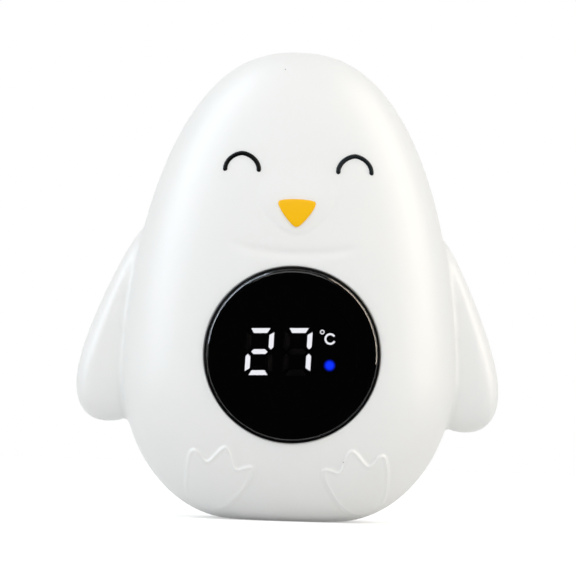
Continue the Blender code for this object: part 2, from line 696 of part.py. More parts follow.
BAY_RADIUS = CELL_RADIUS + CELL_PLAY
BAY_MIDDLE = CORE_HEIGHT + BAY_RISE
DOOR_FRONT = REAR_FACE - DOOR_THICKNESS
DOOR_SEAT = DOOR_FRONT - DOOR_GASKET - 2 * GAP
BAY_OUTER = DOOR_RADIUS + GAP + TUB_WALL
DOOR_SCREW_HEIGHT = CORE_HEIGHT - DOOR_SCREW_DROP
PROBE_MIDDLE = CORE_HEIGHT - PROBE_DROP
WATER_CONTACT_HEIGHT = CORE_HEIGHT - WATER_CONTACT[1]
REAR_INSIDE = REAR_FACE - REAR_WALL
CLIP_OUTSIDE = -BAY_RADIUS + CLIP_PRESS - CONTACT_SHEET
TAIL_END = BAY_FLOOR - BAY_WALL - TAIL_REACH
CELL_FRONTS = [
    BAY_FLOOR + SPRING_HEIGHT + GAP * 0.5,
    BAY_FLOOR + SPRING_HEIGHT + CELL_THICKNESS + GAP * 1.5,
]


def door_outline(margin):
    """A disc with a square tab below it, which takes the screw."""
    radius = DOOR_RADIUS + margin
    half = DOOR_TAB_HALF_WIDTH + margin
    drop = DOOR_SCREW_DROP + BAY_RISE + DOOR_TAB_HALF_WIDTH + margin
    side = math.degrees(math.asin(half / radius))
    outline = arc((0.0, BAY_MIDDLE), radius, -90 + side, 270 - side, 28)
    return outline + [(-half, BAY_MIDDLE - drop), (half, BAY_MIDDLE - drop)]


def rear_housing():
    inner = CORE_RADIUS - CORE_WALL
    neck_inner = NECK_RADIUS - CORE_WALL
    outline = [
        (0.0, REAR_FACE), (NECK_RADIUS, REAR_FACE), (NECK_RADIUS, SHOULDER),
        (NECK_RADIUS + LIP_REACH / 2, SHOULDER), (CORE_RADIUS, CORE_BACK_TAPER), (CORE_RADIUS, SPLIT),
        (inner, SPLIT), (inner, CORE_BACK_TAPER - CORE_WALL / 2), (neck_inner, SHOULDER - CORE_WALL / 2),
        (neck_inner, REAR_INSIDE), (0.0, REAR_INSIDE),
    ]
    housing = turned("rear_housing", outline, "white_plastic")
    tub = rod("bay_tub", BAY_OUTER, BAY_FLOOR - BAY_WALL, REAR_INSIDE + GAP, z=BAY_MIDDLE, sides=28)
    boolean(housing, "UNION", tub)
    boss = rod("door_screw_boss", COLUMN_RADIUS, BAY_FLOOR, REAR_INSIDE + GAP, z=DOOR_SCREW_HEIGHT, sides=16)
    boolean(housing, "UNION", boss)
    for number, (x, z) in enumerate(SCREW_PLACES, 1):
        column_radius = SCREW_HEAD_RADIUS + GAP + COLUMN_WALL
        column = rod(f"rear_column_{number}", column_radius, SPLIT, REAR_INSIDE + GAP, x=x, z=z, sides=14)
        boolean(housing, "UNION", column)
    for number, (x, z) in enumerate(SCREW_PLACES, 1):
        well = rod(
            f"screw_well_{number}", SCREW_HEAD_RADIUS + GAP, SCREW_SEAT - GAP, REAR_FACE + GAP,
            x=x, z=z, sides=14,
        )
        boolean(housing, "DIFFERENCE", well)
        hole = rod(
            f"rear_screw_hole_{number}", SCREW_SHANK_RADIUS + GAP, 0.0, SCREW_SEAT + GAP, x=x, z=z, sides=12
        )
        boolean(housing, "DIFFERENCE", hole)
        screw(f"housing_screw_{number}", SCREW_SEAT, SCREW_LENGTH, x, z)
    boolean(housing, "DIFFERENCE", slab("door_pocket", door_outline(GAP), DOOR_SEAT, REAR_FACE + GAP))
    bay = rod("battery_bay", BAY_RADIUS, BAY_FLOOR, REAR_FACE + GAP, z=BAY_MIDDLE, sides=28)
    boolean(housing, "DIFFERENCE", bay)
    door_hole = rod(
        "door_screw_hole", SCREW_SHANK_RADIUS + GAP, BAY_FLOOR + 4 * GAP, REAR_FACE,
        z=DOOR_SCREW_HEIGHT, sides=12,
    )
    boolean(housing, "DIFFERENCE", door_hole)
    tail_hole = rod("spring_tail_hole", 3 * GAP, 0.0, BAY_FLOOR + GAP, z=BAY_MIDDLE, sides=12)
    boolean(housing, "DIFFERENCE", tail_hole)
    clip_slot = block(
        "clip_slot", (4 * CONTACT_SHEET + 2 * GAP, DOOR_SEAT, CLIP_WIDTH + 2 * GAP),
        (CLIP_OUTSIDE, DOOR_SEAT / 2 + GAP, BAY_MIDDLE),
    )
    boolean(housing, "DIFFERENCE", clip_slot)
    probe_hole = rod(
        "probe_hole", PROBE_RADIUS + GAP, 0.0, REAR_FACE + GAP, z=PROBE_MIDDLE, sides=24
    )
    boolean(housing, "DIFFERENCE", probe_hole)
    for side, word in ((1, "left"), (-1, "right")):
        pin_hole = rod(
            f"{word}_contact_hole", WATER_CONTACT_RADIUS / 2 + GAP, 0.0, REAR_FACE + GAP,
            x=side * WATER_CONTACT[0], z=WATER_CONTACT_HEIGHT, sides=12,
        )
        boolean(housing, "DIFFERENCE", pin_hole)
    ring(
        "housing_gasket", CORE_RADIUS - CORE_WALL, CORE_RADIUS - GAP, -SPLIT_GASKET / 2, SPLIT_GASKET / 2,
        "grey_rubber",
    )


def battery_and_door():
    for name, front in zip(("front_cell", "rear_cell"), CELL_FRONTS):
        back = front + CELL_THICKNESS
        crimp = CELL_RADIUS - CELL_CRIMP
        outline = [
            (0.0, back), (CELL_RADIUS - CELL_CHAMFER, back), (CELL_RADIUS, back - CELL_CHAMFER),
            (CELL_RADIUS, front + 1.5 * CELL_CHAMFER), (crimp, front + CELL_CHAMFER),
            (crimp - CELL_CHAMFER, front), (0.0, front),
        ]
        turned(name, outline, "nickel", steps=28, z=BAY_MIDDLE)
    floor = BAY_FLOOR + GAP
    half_tail = TAIL_WIDTH / 2
    spring_top = BAY_FLOOR + SPRING_HEIGHT
    spring_outline = [
        (SPRING_HEEL, floor), (SPRING_HEEL, floor + CONTACT_SHEET), (-2 * TAIL_WIDTH, floor + CONTACT_SHEET),
        (-SPRING_REACH, spring_top), (-SPRING_REACH, spring_top - CONTACT_SHEET), (-2 * TAIL_WIDTH, floor),
        (-half_tail, floor), (-half_tail, TAIL_END), (half_tail, TAIL_END), (half_tail, floor),
    ]
    profile_piece("negative_spring", spring_outline, SPRING_WIDTH)
    inside, high = CLIP_OUTSIDE + CONTACT_SHEET, DOOR_SEAT - GAP
    clip_outline = [(inside, TAIL_END), (inside, high), (CLIP_OUTSIDE, high), (CLIP_OUTSIDE, TAIL_END)]
    profile_piece("positive_clip", clip_outline, CLIP_WIDTH)
    gasket_front = DOOR_SEAT + GAP
    ring(
        "door_gasket", BAY_RADIUS + CLIP_PRESS, DOOR_RADIUS, gasket_front, gasket_front + DOOR_GASKET,
        "grey_rubber", z=BAY_MIDDLE,
    )
    door = slab("battery_door", door_outline(0.0), DOOR_FRONT, REAR_FACE, "white_plastic")
    pad = rod(
        "door_pad", CELL_RADIUS * 0.7, CELL_FRONTS[1] + CELL_THICKNESS + GAP / 2, DOOR_FRONT + GAP,
        z=BAY_MIDDLE, sides=32,
    )
    boolean(door, "UNION", pad)
    seat = REAR_FACE - SCREW_HEAD_HEIGHT / 2
    sink = rod("door_screw_sink", SCREW_HEAD_RADIUS + GAP, seat - GAP, REAR_FACE + GAP, z=DOOR_SCREW_HEIGHT)
    boolean(door, "DIFFERENCE", sink)
    hole = rod(
        "door_screw_clearance", SCREW_SHANK_RADIUS + GAP, DOOR_FRONT - GAP, REAR_FACE, z=DOOR_SCREW_HEIGHT,
        sides=12,
    )
    boolean(door, "DIFFERENCE", hole)
    screw("door_screw", seat, DOOR_SCREW_LENGTH, 0.0, DOOR_SCREW_HEIGHT)


def profile_piece(name, outline, width):
    """A bent strip of contact sheet: an outline of (x, y) points, as wide as given along Z."""
    bm = bmesh.new()
    low = BAY_MIDDLE - width / 2
    face = bm.faces.new([bm.verts.new((x, y, low)) for x, y in outline])
    grown = bmesh.ops.extrude_face_region(bm, geom=[face])["geom"]
    moved = [part for part in grown if isinstance(part, bmesh.types.BMVert)]
    bmesh.ops.translate(bm, verts=moved, vec=(0.0, 0.0, width))
    bmesh.ops.recalc_face_normals(bm, faces=bm.faces)
    return place(name, mesh_from(bm, name), "nickel")


# Probe, water contacts and wiring

def wire(name, start, leave, turns, radius, surface):
    """A wire from one point straight back along -Y, through its turns, and straight into the board."""
    landing = turns[-1]
    route = [start, leave, *turns[:-1], (landing[0], landing[1] + WIRE_RUN, landing[2]), landing]
    tube(name, smooth_route(route, 10), radius, surface)


def probe_and_contacts():
    tip = REAR_FACE + PROBE_PROUD
    flange_back = REAR_INSIDE - SEAL_THICKNESS
    flange_front = flange_back - PROBE_WALL
    bore = PROBE_RADIUS - PROBE_WALL
    cap = [
        (0.0, tip), (PROBE_RADIUS * 0.6, tip - PROBE_ROUND), (PROBE_RADIUS, tip - PROBE_PROUD * 0.7),
        (PROBE_RADIUS, flange_back), (PROBE_FLANGE_RADIUS, flange_back),
        (PROBE_FLANGE_RADIUS, flange_front), (bore, flange_front),
        (bore, tip - PROBE_PROUD * 0.7 - PROBE_WALL), (0.0, tip - PROBE_WALL * 1.5),
    ]
    turned("probe_cap", cap, "steel", steps=24, z=PROBE_MIDDLE)
    ring(
        "probe_seal", PROBE_RADIUS + GAP / 2, PROBE_FLANGE_RADIUS, flange_back + GAP, REAR_INSIDE - GAP,
        "grey_rubber", steps=24, z=PROBE_MIDDLE,
    )
    bead_middle = REAR_FACE - THERMISTOR_RADIUS
    bm = bmesh.new()
    bmesh.ops.create_uvsphere(bm, u_segments=12, v_segments=8, radius=THERMISTOR_RADIUS)
    bead = place("thermistor", mesh_from(bm, "thermistor"), "thermistor_glass")
    bead.location = (0.0, bead_middle, PROBE_MIDDLE)
    bead.data.shade_smooth()
    head = REAR_FACE + WATER_CONTACT_PROUD
    pin_end = REAR_INSIDE - CONTACT_TAIL
    board = BOARD_BACK + GAP
    for side, word in ((1, "left"), (-1, "right")):
        x = side * THERMISTOR_RADIUS / 2
        wire(
            f"probe_lead_{word}", (x, bead_middle - THERMISTOR_RADIUS - GAP, PROBE_MIDDLE),
            (x, SHOULDER - WIRE_RUN, PROBE_MIDDLE),
            [(2 * x, SPLIT, PROBE_MIDDLE), (3 * x, board, CORE_HEIGHT - PROBE_LEAD_LANDING)],
            LEAD_RADIUS, "black_insulation",
        )
        pin_x = side * WATER_CONTACT[0]
        pin = [
            (0.0, head), (WATER_CONTACT_RADIUS * 0.7, head), (WATER_CONTACT_RADIUS, head - PROBE_ROUND),
            (WATER_CONTACT_RADIUS, REAR_FACE + GAP), (WATER_CONTACT_RADIUS / 2, REAR_FACE + GAP),
            (WATER_CONTACT_RADIUS / 2, pin_end), (0.0, pin_end),
        ]
        turned(f"water_contact_{word}", pin, "steel", steps=20, x=pin_x, z=WATER_CONTACT_HEIGHT)
        wire(
            f"contact_wire_{word}", (pin_x, pin_end - GAP, WATER_CONTACT_HEIGHT),
            (pin_x, pin_end - GAP - 2 * WIRE_RUN, WATER_CONTACT_HEIGHT),
            [(pin_x, SPLIT, WATER_CONTACT_HEIGHT), (pin_x, board, CORE_HEIGHT - CONTACT_WIRE_LANDING)],
            WIRE_RADIUS, "black_insulation",
        )
    tail = TAIL_END - GAP
    for name, x, surface in (
        ("battery_wire_red", CLIP_OUTSIDE + CONTACT_SHEET / 2, "red_insulation"),
        ("battery_wire_black", 0.0, "black_insulation"),
    ):
        wire(
            name, (x, tail, BAY_MIDDLE), (x, tail - WIRE_RUN, BAY_MIDDLE),
            [(x * 0.7, board, CORE_HEIGHT + BATTERY_WIRE_LANDING)],
            WIRE_RADIUS, surface,
        )


silicone_body()
eyes_and_beak()
display_lens()
front_housing()
display_module()
rear_housing()
battery_and_door()
probe_and_contacts()
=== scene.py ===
"""The looks of a penguin bath thermometer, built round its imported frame.

The sections follow the object as it is put together: the silicone boot and its face, the display,
the two halves of the core, the battery, and the probe and water contacts behind. The penguin faces
-Y and stands on its flat base at Z = 0. All sizes are in metres.
"""

import math

import bmesh
import bpy
from mathutils import Matrix, Vector


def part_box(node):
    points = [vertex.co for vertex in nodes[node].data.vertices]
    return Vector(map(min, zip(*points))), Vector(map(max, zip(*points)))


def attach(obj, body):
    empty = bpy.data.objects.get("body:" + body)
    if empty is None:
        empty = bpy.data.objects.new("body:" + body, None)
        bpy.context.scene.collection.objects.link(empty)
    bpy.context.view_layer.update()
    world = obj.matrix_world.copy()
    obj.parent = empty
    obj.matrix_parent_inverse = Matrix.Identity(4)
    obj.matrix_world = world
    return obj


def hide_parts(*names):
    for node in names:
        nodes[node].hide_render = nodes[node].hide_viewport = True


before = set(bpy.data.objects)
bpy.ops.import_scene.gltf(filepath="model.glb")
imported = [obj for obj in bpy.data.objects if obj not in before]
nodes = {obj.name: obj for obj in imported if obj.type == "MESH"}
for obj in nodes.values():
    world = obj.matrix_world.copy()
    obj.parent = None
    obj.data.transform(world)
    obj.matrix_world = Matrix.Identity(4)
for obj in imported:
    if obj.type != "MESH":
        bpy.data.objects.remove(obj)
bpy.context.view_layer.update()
MM = 0.001


# Camera: level with the middle of the penguin, a little to its right, and tilted with the photograph
AIM = Vector((-0.64 * MM, 0.0, 46.32 * MM))
DISTANCE = 1.5
AZIMUTH = math.radians(-1.6)
ROLL = math.radians(1.95)
SENSOR = 36.0
FRAME_WIDTH = 115.2 * MM

camera_data = bpy.data.cameras.new("camera")
camera_data.sensor_width = SENSOR
camera_data.lens = SENSOR * DISTANCE / FRAME_WIDTH
camera_data.clip_end = 20.0
camera = bpy.data.objects.new("camera", camera_data)
bpy.context.scene.collection.objects.link(camera)
camera.location = AIM + DISTANCE * Vector((math.sin(AZIMUTH), -math.cos(AZIMUTH), 0.0))
toward = (AIM - camera.location).to_track_quat("-Z", "Y").to_matrix().to_4x4()
camera.matrix_world = Matrix.Translation(camera.location) @ toward @ Matrix.Rotation(ROLL, 4, "Z")
bpy.context.scene.camera = camera
bpy.context.scene.view_settings.view_transform = "Standard"


# Studio: a white sweep with one big soft lamp on each side and a third above. Two tall strips show only in
# the gloss, where the room is dark in front and white behind. The sweep glows for the camera alone.
def linear(hex_colour):
    """An sRGB hex colour as linear red, green, blue and alpha."""
    shares = [int(hex_colour[i : i + 2], 16) / 255 for i in (1, 3, 5)]
    bent = [s / 12.92 if s <= 0.04045 else ((s + 0.055) / 1.055) ** 2.4 for s in shares]
    return (*bent, 1.0)


def add_node(tree, kind, inputs=None, **options):
    """Adds a node. Each input is a value, or the output of another node."""
    node = tree.nodes.new("ShaderNode" + kind)
    for name, value in options.items():
        setattr(node, name, value)
    for name, value in (inputs or {}).items():
        if isinstance(value, bpy.types.NodeSocket):
            tree.links.new(value, node.inputs[name])
        else:
            node.inputs[name].default_value = value
    return node


def lamp(name, place, aim, size, watts, colour):
    data = bpy.data.lights.new(name, "AREA")
    data.shape = "RECTANGLE"
    data.size, data.size_y = size
    data.energy = watts
    data.color = linear(colour)[:3]
    thing = bpy.data.objects.new(name, data)
    bpy.context.scene.collection.objects.link(thing)
    thing.location = place
    thing.rotation_euler = (Vector(aim) - Vector(place)).to_track_quat("-Z", "Y").to_euler()
    return thing


BODY_MIDDLE = (0.0, 0.0, 0.045)
SIDE_LAMP_SIZE = (0.5, 0.7)
SIDE_LAMP_WATTS = 0.7
TOP_LAMP_SIZE = (0.6, 0.5)
TOP_LAMP_WATTS = 1.6
STRIP_SIZE = (0.3, 0.9)
STRIP_WATTS = 8.5
ROOM_LIGHT = 0.67
DARK_ROOM = 0.02
SWEEP_RADIUS = 0.45
SWEEP_GLOW = 0.46

lamp("left_softbox", (-0.64, -0.10, 0.30), BODY_MIDDLE, SIDE_LAMP_SIZE, SIDE_LAMP_WATTS, "#F2F8FF")
lamp("right_softbox", (0.64, -0.10, 0.30), BODY_MIDDLE, SIDE_LAMP_SIZE, SIDE_LAMP_WATTS, "#FFF6E8")
lamp("top_softbox", (0.0, -0.60, 0.65), BODY_MIDDLE, TOP_LAMP_SIZE, TOP_LAMP_WATTS, "#FFFFFF")
for name, place, colour in (
    ("left_strip", (-0.50, -0.10, 0.45), "#E4F0FF"), ("right_strip", (0.56, -0.10, 0.36), "#FFF0DC")
):
    strip = lamp(name, place, BODY_MIDDLE, STRIP_SIZE, STRIP_WATTS, colour)
    strip.visible_diffuse = False

world = bpy.data.worlds.new("studio")
world.use_nodes = True
bpy.context.scene.world = world
sky = world.node_tree
rays = add_node(sky, "LightPath").outputs
direction = add_node(sky, "TexCoord").outputs["Generated"]
depth = add_node(sky, "SeparateXYZ", {"Vector": direction}).outputs["Y"]
behind = add_node(
    sky, "MapRange", {"Value": depth, "From Min": -0.1, "From Max": 0.2, "To Min": DARK_ROOM, "To Max": 1.0}
).outputs["Result"]
glossy, clear = rays["Is Glossy Ray"], rays["Is Transmission Ray"]
in_gloss = add_node(sky, "Math", {0: glossy, 1: clear}, operation="MAXIMUM").outputs[0]
mirrored = add_node(sky, "Math", {0: in_gloss, 1: behind}, operation="MULTIPLY").outputs[0]
plain = add_node(sky, "Math", {0: 1.0, 1: in_gloss}, operation="SUBTRACT").outputs[0]
room = add_node(sky, "Math", {0: plain, 1: ROOM_LIGHT, 2: mirrored}, operation="MULTIPLY_ADD").outputs[0]
strength = add_node(sky, "Math", {0: rays["Is Camera Ray"], 1: room}, operation="MAXIMUM").outputs[0]
sky.nodes["Background"].inputs["Color"].default_value = (1.0, 1.0, 1.0, 1.0)
sky.links.new(strength, sky.nodes["Background"].inputs["Strength"])

bm = bmesh.new()
bmesh.ops.create_circle(bm, cap_ends=True, segments=64, radius=SWEEP_RADIUS)
floor_mesh = bpy.data.meshes.new("floor")
bm.to_mesh(floor_mesh)
bm.free()
floor = bpy.data.objects.new("floor", floor_mesh)
bpy.context.scene.collection.objects.link(floor)
floor.visible_glossy = False
paper = bpy.data.materials.new("white_paper_sweep")
paper.use_nodes = True
tree = paper.node_tree
shader = tree.nodes["Principled BSDF"]
shader.inputs["Base Color"].default_value = linear("#EBEBEB")
shader.inputs["Roughness"].default_value = 0.9
shader.inputs["Emission Color"].default_value = (1.0, 1.0, 1.0, 1.0)
seen = add_node(tree, "LightPath").outputs["Is Camera Ray"]
glow = add_node(tree, "Math", {0: seen, 1: SWEEP_GLOW}, operation="MULTIPLY").outputs[0]
tree.links.new(glow, shader.inputs["Emission Strength"])
floor_mesh.materials.append(paper)


# Silicone boot: one moulded skin of soft white liquid silicone, stretched over the core. Its body and
# flippers are one smooth form, and the feet, the swelling under the beak and the chin fold are in the mould.
HEIGHT = 93.4 * MM
HALF_WIDTH = 33.2 * MM
FRONT_DEPTH = 23.5 * MM
BACK_DEPTH = 22.5 * MM
WIDEST_SHARE = 29.0 / 93.4
BASE_HALF_WIDTH = 10.0 * MM
BASE_HALF_DEPTH = 9.0 * MM
WALL = 2.6 * MM
CROWN_POWERS = (1.83, 2.39)
BELLY_POWERS = (1.92, 2.02)
SECTION_POWER = 2.6
CORE_HEIGHT = 33.2 * MM
SHORT = 0.00001
POLE = 0.0001
SHARP_ANGLE = math.radians(38)


def new_piece(name, bm, material=None, smooth=True):
    """Makes the finished object of a bmesh, and lets it ride on the frame."""
    mesh = bpy.data.meshes.new(name)
    bm.to_mesh(mesh)
    bm.free()
    thing = bpy.data.objects.new(name, mesh)
    bpy.context.scene.collection.objects.link(thing)
    if smooth:
        mesh.shade_smooth()
        mesh.set_sharp_from_angle(angle=SHARP_ANGLE)
    if material:
        mesh.materials.append(material)
    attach(thing, "root")
    return thing


def body_sizes(z, inset=0.0):
    """Half width, front depth and back depth of the body at a height."""
    share = min(max((z - inset) / (HEIGHT - 2 * inset), 0.0), 1.0)
    if share >= WIDEST_SHARE:
        rise, roundness = CROWN_POWERS
        fullness = (1 - ((share - WIDEST_SHARE) / (1 - WIDEST_SHARE)) ** rise) ** (1 / roundness)
        return [(size - inset) * fullness for size in (HALF_WIDTH, FRONT_DEPTH, BACK_DEPTH)]
    rise, roundness = BELLY_POWERS
    fullness = (1 - (1 - share / WIDEST_SHARE) ** rise) ** (1 / roundness)
    bases = (BASE_HALF_WIDTH, BASE_HALF_DEPTH, BASE_HALF_DEPTH)
    sizes = (HALF_WIDTH, FRONT_DEPTH, BACK_DEPTH)
    return [base - inset + (size - base) * fullness for base, size in zip(bases, sizes)]


def body_skin(x, z, back=False):
    """The Y of the body's plain surface at a point seen from the front or the back."""
    half_width, front, rear = body_sizes(z)
    share = (1 - min(abs(x) / half_width, 1.0) ** SECTION_POWER) ** (1 / SECTION_POWER)
    return rear * share if back else -front * share


def body_form(bm, segments, rings, inset=0.0):
    """Adds a sphere pulled to the penguin's outline, whose lowest ring is the flat base."""
    added = bmesh.ops.create_uvsphere(bm, u_segments=segments, v_segments=rings, radius=1.0)["verts"]
    lowest = 1 / rings
    for vert in added:
        way = vert.co.normalized()
        latitude = 0.5 + math.asin(max(-1.0, min(1.0, way.z))) / math.pi
        share = max(0.0, (latitude - lowest) / (1 - lowest))
        z = inset + (HEIGHT - 2 * inset) * (1 - math.cos(math.pi * share)) / 2
        half_width, front, rear = body_sizes(z, inset)
        level = math.hypot(way.x, way.y)
        if level < POLE:
            vert.co = (0.0, 0.0, z)
            continue
        x = math.copysign(abs(way.x / level) ** (2 / SECTION_POWER), way.x) * half_width
        y = math.copysign(abs(way.y / level) ** (2 / SECTION_POWER), way.y) * (front if way.y < 0 else rear)
        vert.co = (x, y, z)
    return added


FLIPPER_TOP = Vector((28.1, 58.2)) * MM
FLIPPER_TIP = Vector((37.7, 18.7)) * MM
FLIPPER_WIDTH = 8.8 * MM
FLIPPER_INNER_SHARE = 1.3
FLIPPER_CREST = 0.5
FLIPPER_TOP_POWER = 0.5
FLIPPER_TIP_POWER = 5.5
FLIPPER_THICKNESS = 10.5 * MM
FLIPPER_SET_BACK = 2.3 * MM


def flipper_form(bm, side):
    """Adds a flat drop whose upper end sinks into the shoulder."""
    outward = Vector((FLIPPER_TOP.y - FLIPPER_TIP.y, FLIPPER_TIP.x - FLIPPER_TOP.x)).normalized()
    added = bmesh.ops.create_uvsphere(bm, u_segments=64, v_segments=60, radius=1.0)["verts"]
    for vert in added:
        way = vert.co.normalized()
        along = (1 - way.z) / 2
        level = max(math.hypot(way.x, way.y), POLE)
        tapered = math.sqrt(max(0.0, 1 - along**FLIPPER_TIP_POWER))
        width = FLIPPER_WIDTH * along**FLIPPER_TOP_POWER * tapered
        thickness = FLIPPER_THICKNESS / 2 * math.sqrt(max(0.0, 1 - (2 * along - 1) ** 4))
        crest = FLIPPER_CREST * width
        reach = width - crest if way.x > 0 else FLIPPER_INNER_SHARE * width + crest
        across = crest + reach * way.x / level
        x, z = FLIPPER_TOP + (FLIPPER_TIP - FLIPPER_TOP) * along + outward * across
        vert.co = (side * x, FLIPPER_SET_BACK + thickness * way.y / level, z)
    faces = {face for vert in added for face in vert.link_faces}
    bmesh.ops.recalc_face_normals(bm, faces=list(faces))


MUZZLE_HEIGHT = 65.0 * MM
MUZZLE_RADII = (7.8 * MM, 8.2 * MM)
MUZZLE_POWER = 1.6
MUZZLE_RISE = 0.75 * MM
MUZZLE_EDGE = 0.6
MUZZLE_FADE = (59.5 * MM, 73.0 * MM)
MUZZLE_ZONE = (56 * MM, 74 * MM)
MUZZLE_ZONE_SIDE = 8.5 * MM
FOLD_DEPTH = 0.28 * MM
FOLD_WIDTH = 0.9 * MM
FOLD_HEIGHT = 53.1 * MM
FOLD_BEND = 0.0098 / MM
FOLD_REACH = 13.5 * MM
FOLD_TAIL = 3
FOOT_RISE = 0.42 * MM
FOOT_EDGE = 0.35 * MM
FOOT_BEAD = 0.21 * MM
FOOT_BEAD_INSET = 0.6
FOOT_TOP = 17 * MM
FOOT_SIDES = (5 * MM, 22.5 * MM)
FOOT_MARGIN = 1.2 * MM
FOOT_OUTLINE = [
    (20.2, 7.7), (20.1, 10.55), (19.8, 12.25), (19.4, 13.55), (18.7, 13.95), (17.8, 13.65), (17.1, 12.65),
    (16.1, 11.55), (15.1, 12.35), (14.2, 13.45), (13.4, 14.35), (12.5, 14.75), (11.8, 14.25), (11.3, 13.05),
    (10.9, 11.55), (10.5, 10.55), (9.9, 10.25), (9.1, 10.55), (8.1, 10.85), (7.2, 10.95), (6.8, 10.35),
    (7.1, 9.0), (7.7, 7.6), (8.6, 6.0), (9.9, 4.3), (11.3, 2.8), (13.1, 1.8), (15.4, 1.5),
    (17.6, 2.1), (19.2, 3.4), (20.0, 5.4),
]


def rounder(points, times):
    """Cuts the corners of a closed outline, so that it becomes a smooth curve."""
    for _ in range(times):
        cut = []
        for first, second in zip(points, points[1:] + points[:1]):
            cut.append(first.lerp(second, 0.25))
            cut.append(first.lerp(second, 0.75))
        points = cut
    return points


foot_curve = rounder([Vector(point) * MM for point in FOOT_OUTLINE], 2)


def depth_inside(point, curve):
    """Distance from a closed outline, above zero inside it."""
    nearest = math.inf
    inside = False
    for first, second in zip(curve, curve[1:] + curve[:1]):
        edge = second - first
        share = min(max((point - first).dot(edge) / edge.length_squared, 0.0), 1.0)
        nearest = min(nearest, (point - first - edge * share).length)
        if (first.y > point.y) != (second.y > point.y):
            if point.x < first.x + (point.y - first.y) / edge.y * edge.x:
                inside = not inside
    return nearest if inside else -nearest


def face_skin(x, z):
    """The Y of the front with what the mould adds to it: muzzle, chin fold and feet."""
    y = body_skin(x, z)
    across, up = abs(x) / MUZZLE_RADII[0], abs(z - MUZZLE_HEIGHT) / MUZZLE_RADII[1]
    swelling = 1 - across**MUZZLE_POWER - up**MUZZLE_POWER
    if swelling > 0:
        fade = min(max((MUZZLE_FADE[1] - z) / (MUZZLE_FADE[1] - MUZZLE_FADE[0]), 0.0), 1.0)
        y -= MUZZLE_RISE * swelling**MUZZLE_EDGE * fade * fade * (3 - 2 * fade)
    fold = (z - FOLD_HEIGHT - FOLD_BEND * x * x) / FOLD_WIDTH
    reach = max(0.0, 1 - (x / FOLD_REACH) ** 4)
    if abs(fold) < FOLD_TAIL:
        y += FOLD_DEPTH * reach * math.exp(-fold * fold)
    if z < FOOT_TOP:
        inside = depth_inside(Vector((abs(x), z)), foot_curve)
        share = min(max(inside / FOOT_EDGE * 0.5 + 0.5, 0.0), 1.0)
        bead = math.exp(-((inside / FOOT_EDGE - FOOT_BEAD_INSET) ** 2))
        y -= FOOT_RISE * share * share * (3 - 2 * share) + FOOT_BEAD * bead
    return y


VOXEL = 0.7 * MM
bm = bmesh.new()
body_form(bm, segments=160, rings=120)
flipper_form(bm, 1)
flipper_form(bm, -1)
rough = bpy.data.meshes.new("rough_boot")
bm.to_mesh(rough)
bm.free()
rough_boot = bpy.data.objects.new("rough_boot", rough)
bpy.context.scene.collection.objects.link(rough_boot)
remesh = rough_boot.modifiers.new("one_skin", "REMESH")
remesh.mode = "VOXEL"
remesh.voxel_size = VOXEL
one_skin = bpy.data.meshes.new_from_object(rough_boot.evaluated_get(bpy.context.evaluated_depsgraph_get()))
bpy.data.objects.remove(rough_boot)

bm = bmesh.new()
bm.from_mesh(one_skin)
bpy.data.meshes.remove(one_skin)
SHOULDER_SHARE = 0.86
SHOULDER_LOWEST = 12 * MM
flanks = [
    v for v in bm.verts
    if abs(v.co.x) > SHOULDER_SHARE * body_sizes(v.co.z)[0] and v.co.z > SHOULDER_LOWEST
]
for _ in range(2):
    bmesh.ops.smooth_vert(bm, verts=flanks, factor=0.5, use_axis_x=True, use_axis_y=True, use_axis_z=True)


def refine(faces, cuts):
    edges = {edge for face in faces for edge in face.edges}
    bmesh.ops.subdivide_edges(bm, edges=list(edges), cuts=cuts, use_grid_fill=True)


def at_foot(face):
    middle = face.calc_center_median()
    if middle.y > 0 or middle.z > FOOT_TOP or not FOOT_SIDES[0] < abs(middle.x) < FOOT_SIDES[1]:
        return False
    return depth_inside(Vector((abs(middle.x), middle.z)), foot_curve) > -FOOT_MARGIN


def at_face(face):
    middle = face.calc_center_median()
    if middle.y > 0:
        return False
    from_fold = abs(middle.z - FOLD_HEIGHT - FOLD_BEND * middle.x**2)
    at_fold = from_fold < FOLD_TAIL * FOLD_WIDTH and abs(middle.x) < FOLD_REACH
    at_muzzle = abs(middle.x) < MUZZLE_ZONE_SIDE and MUZZLE_ZONE[0] < middle.z < MUZZLE_ZONE[1]
    return at_fold or at_muzzle


refine([face for face in bm.faces if at_foot(face)], 3)
refine([face for face in bm.faces if at_face(face)], 1)

FRONT_SHARE = 0.9
FACING_SHARE = 0.3
BASE_MARGIN = 0.6 * MM
CROWN_MARGIN = 1.5 * MM
for vert in bm.verts:
    half_width, front, rear = body_sizes(vert.co.z)
    between = BASE_MARGIN < vert.co.z < HEIGHT - CROWN_MARGIN
    if between and abs(vert.co.x) < FRONT_SHARE * half_width:
        if vert.co.y < -FACING_SHARE * front:
            vert.co.y = face_skin(vert.co.x, vert.co.z)
        elif vert.co.y > FACING_SHARE * rear:
            vert.co.y = body_skin(vert.co.x, vert.co.z, back=True)

FRONT_OPENING = 17.45 * MM
FRONT_SEAT = -17.6 * MM
FRONT_REACH = 20.3 * MM
REAR_OPENING = 20.1 * MM
REAR_SEAT = 14.9 * MM
REAR_REACH = 23.2 * MM
LIP_ROUND = 0.3 * MM
LIP_MARGIN = 1.4 * MM
LIP_STEPS = 5
HOLLOW_MARGIN = 0.3 * MM
AXIS = Vector((0.0, CORE_HEIGHT))


def from_axis(place):
    return (Vector((place.x, place.z)) - AXIS).length


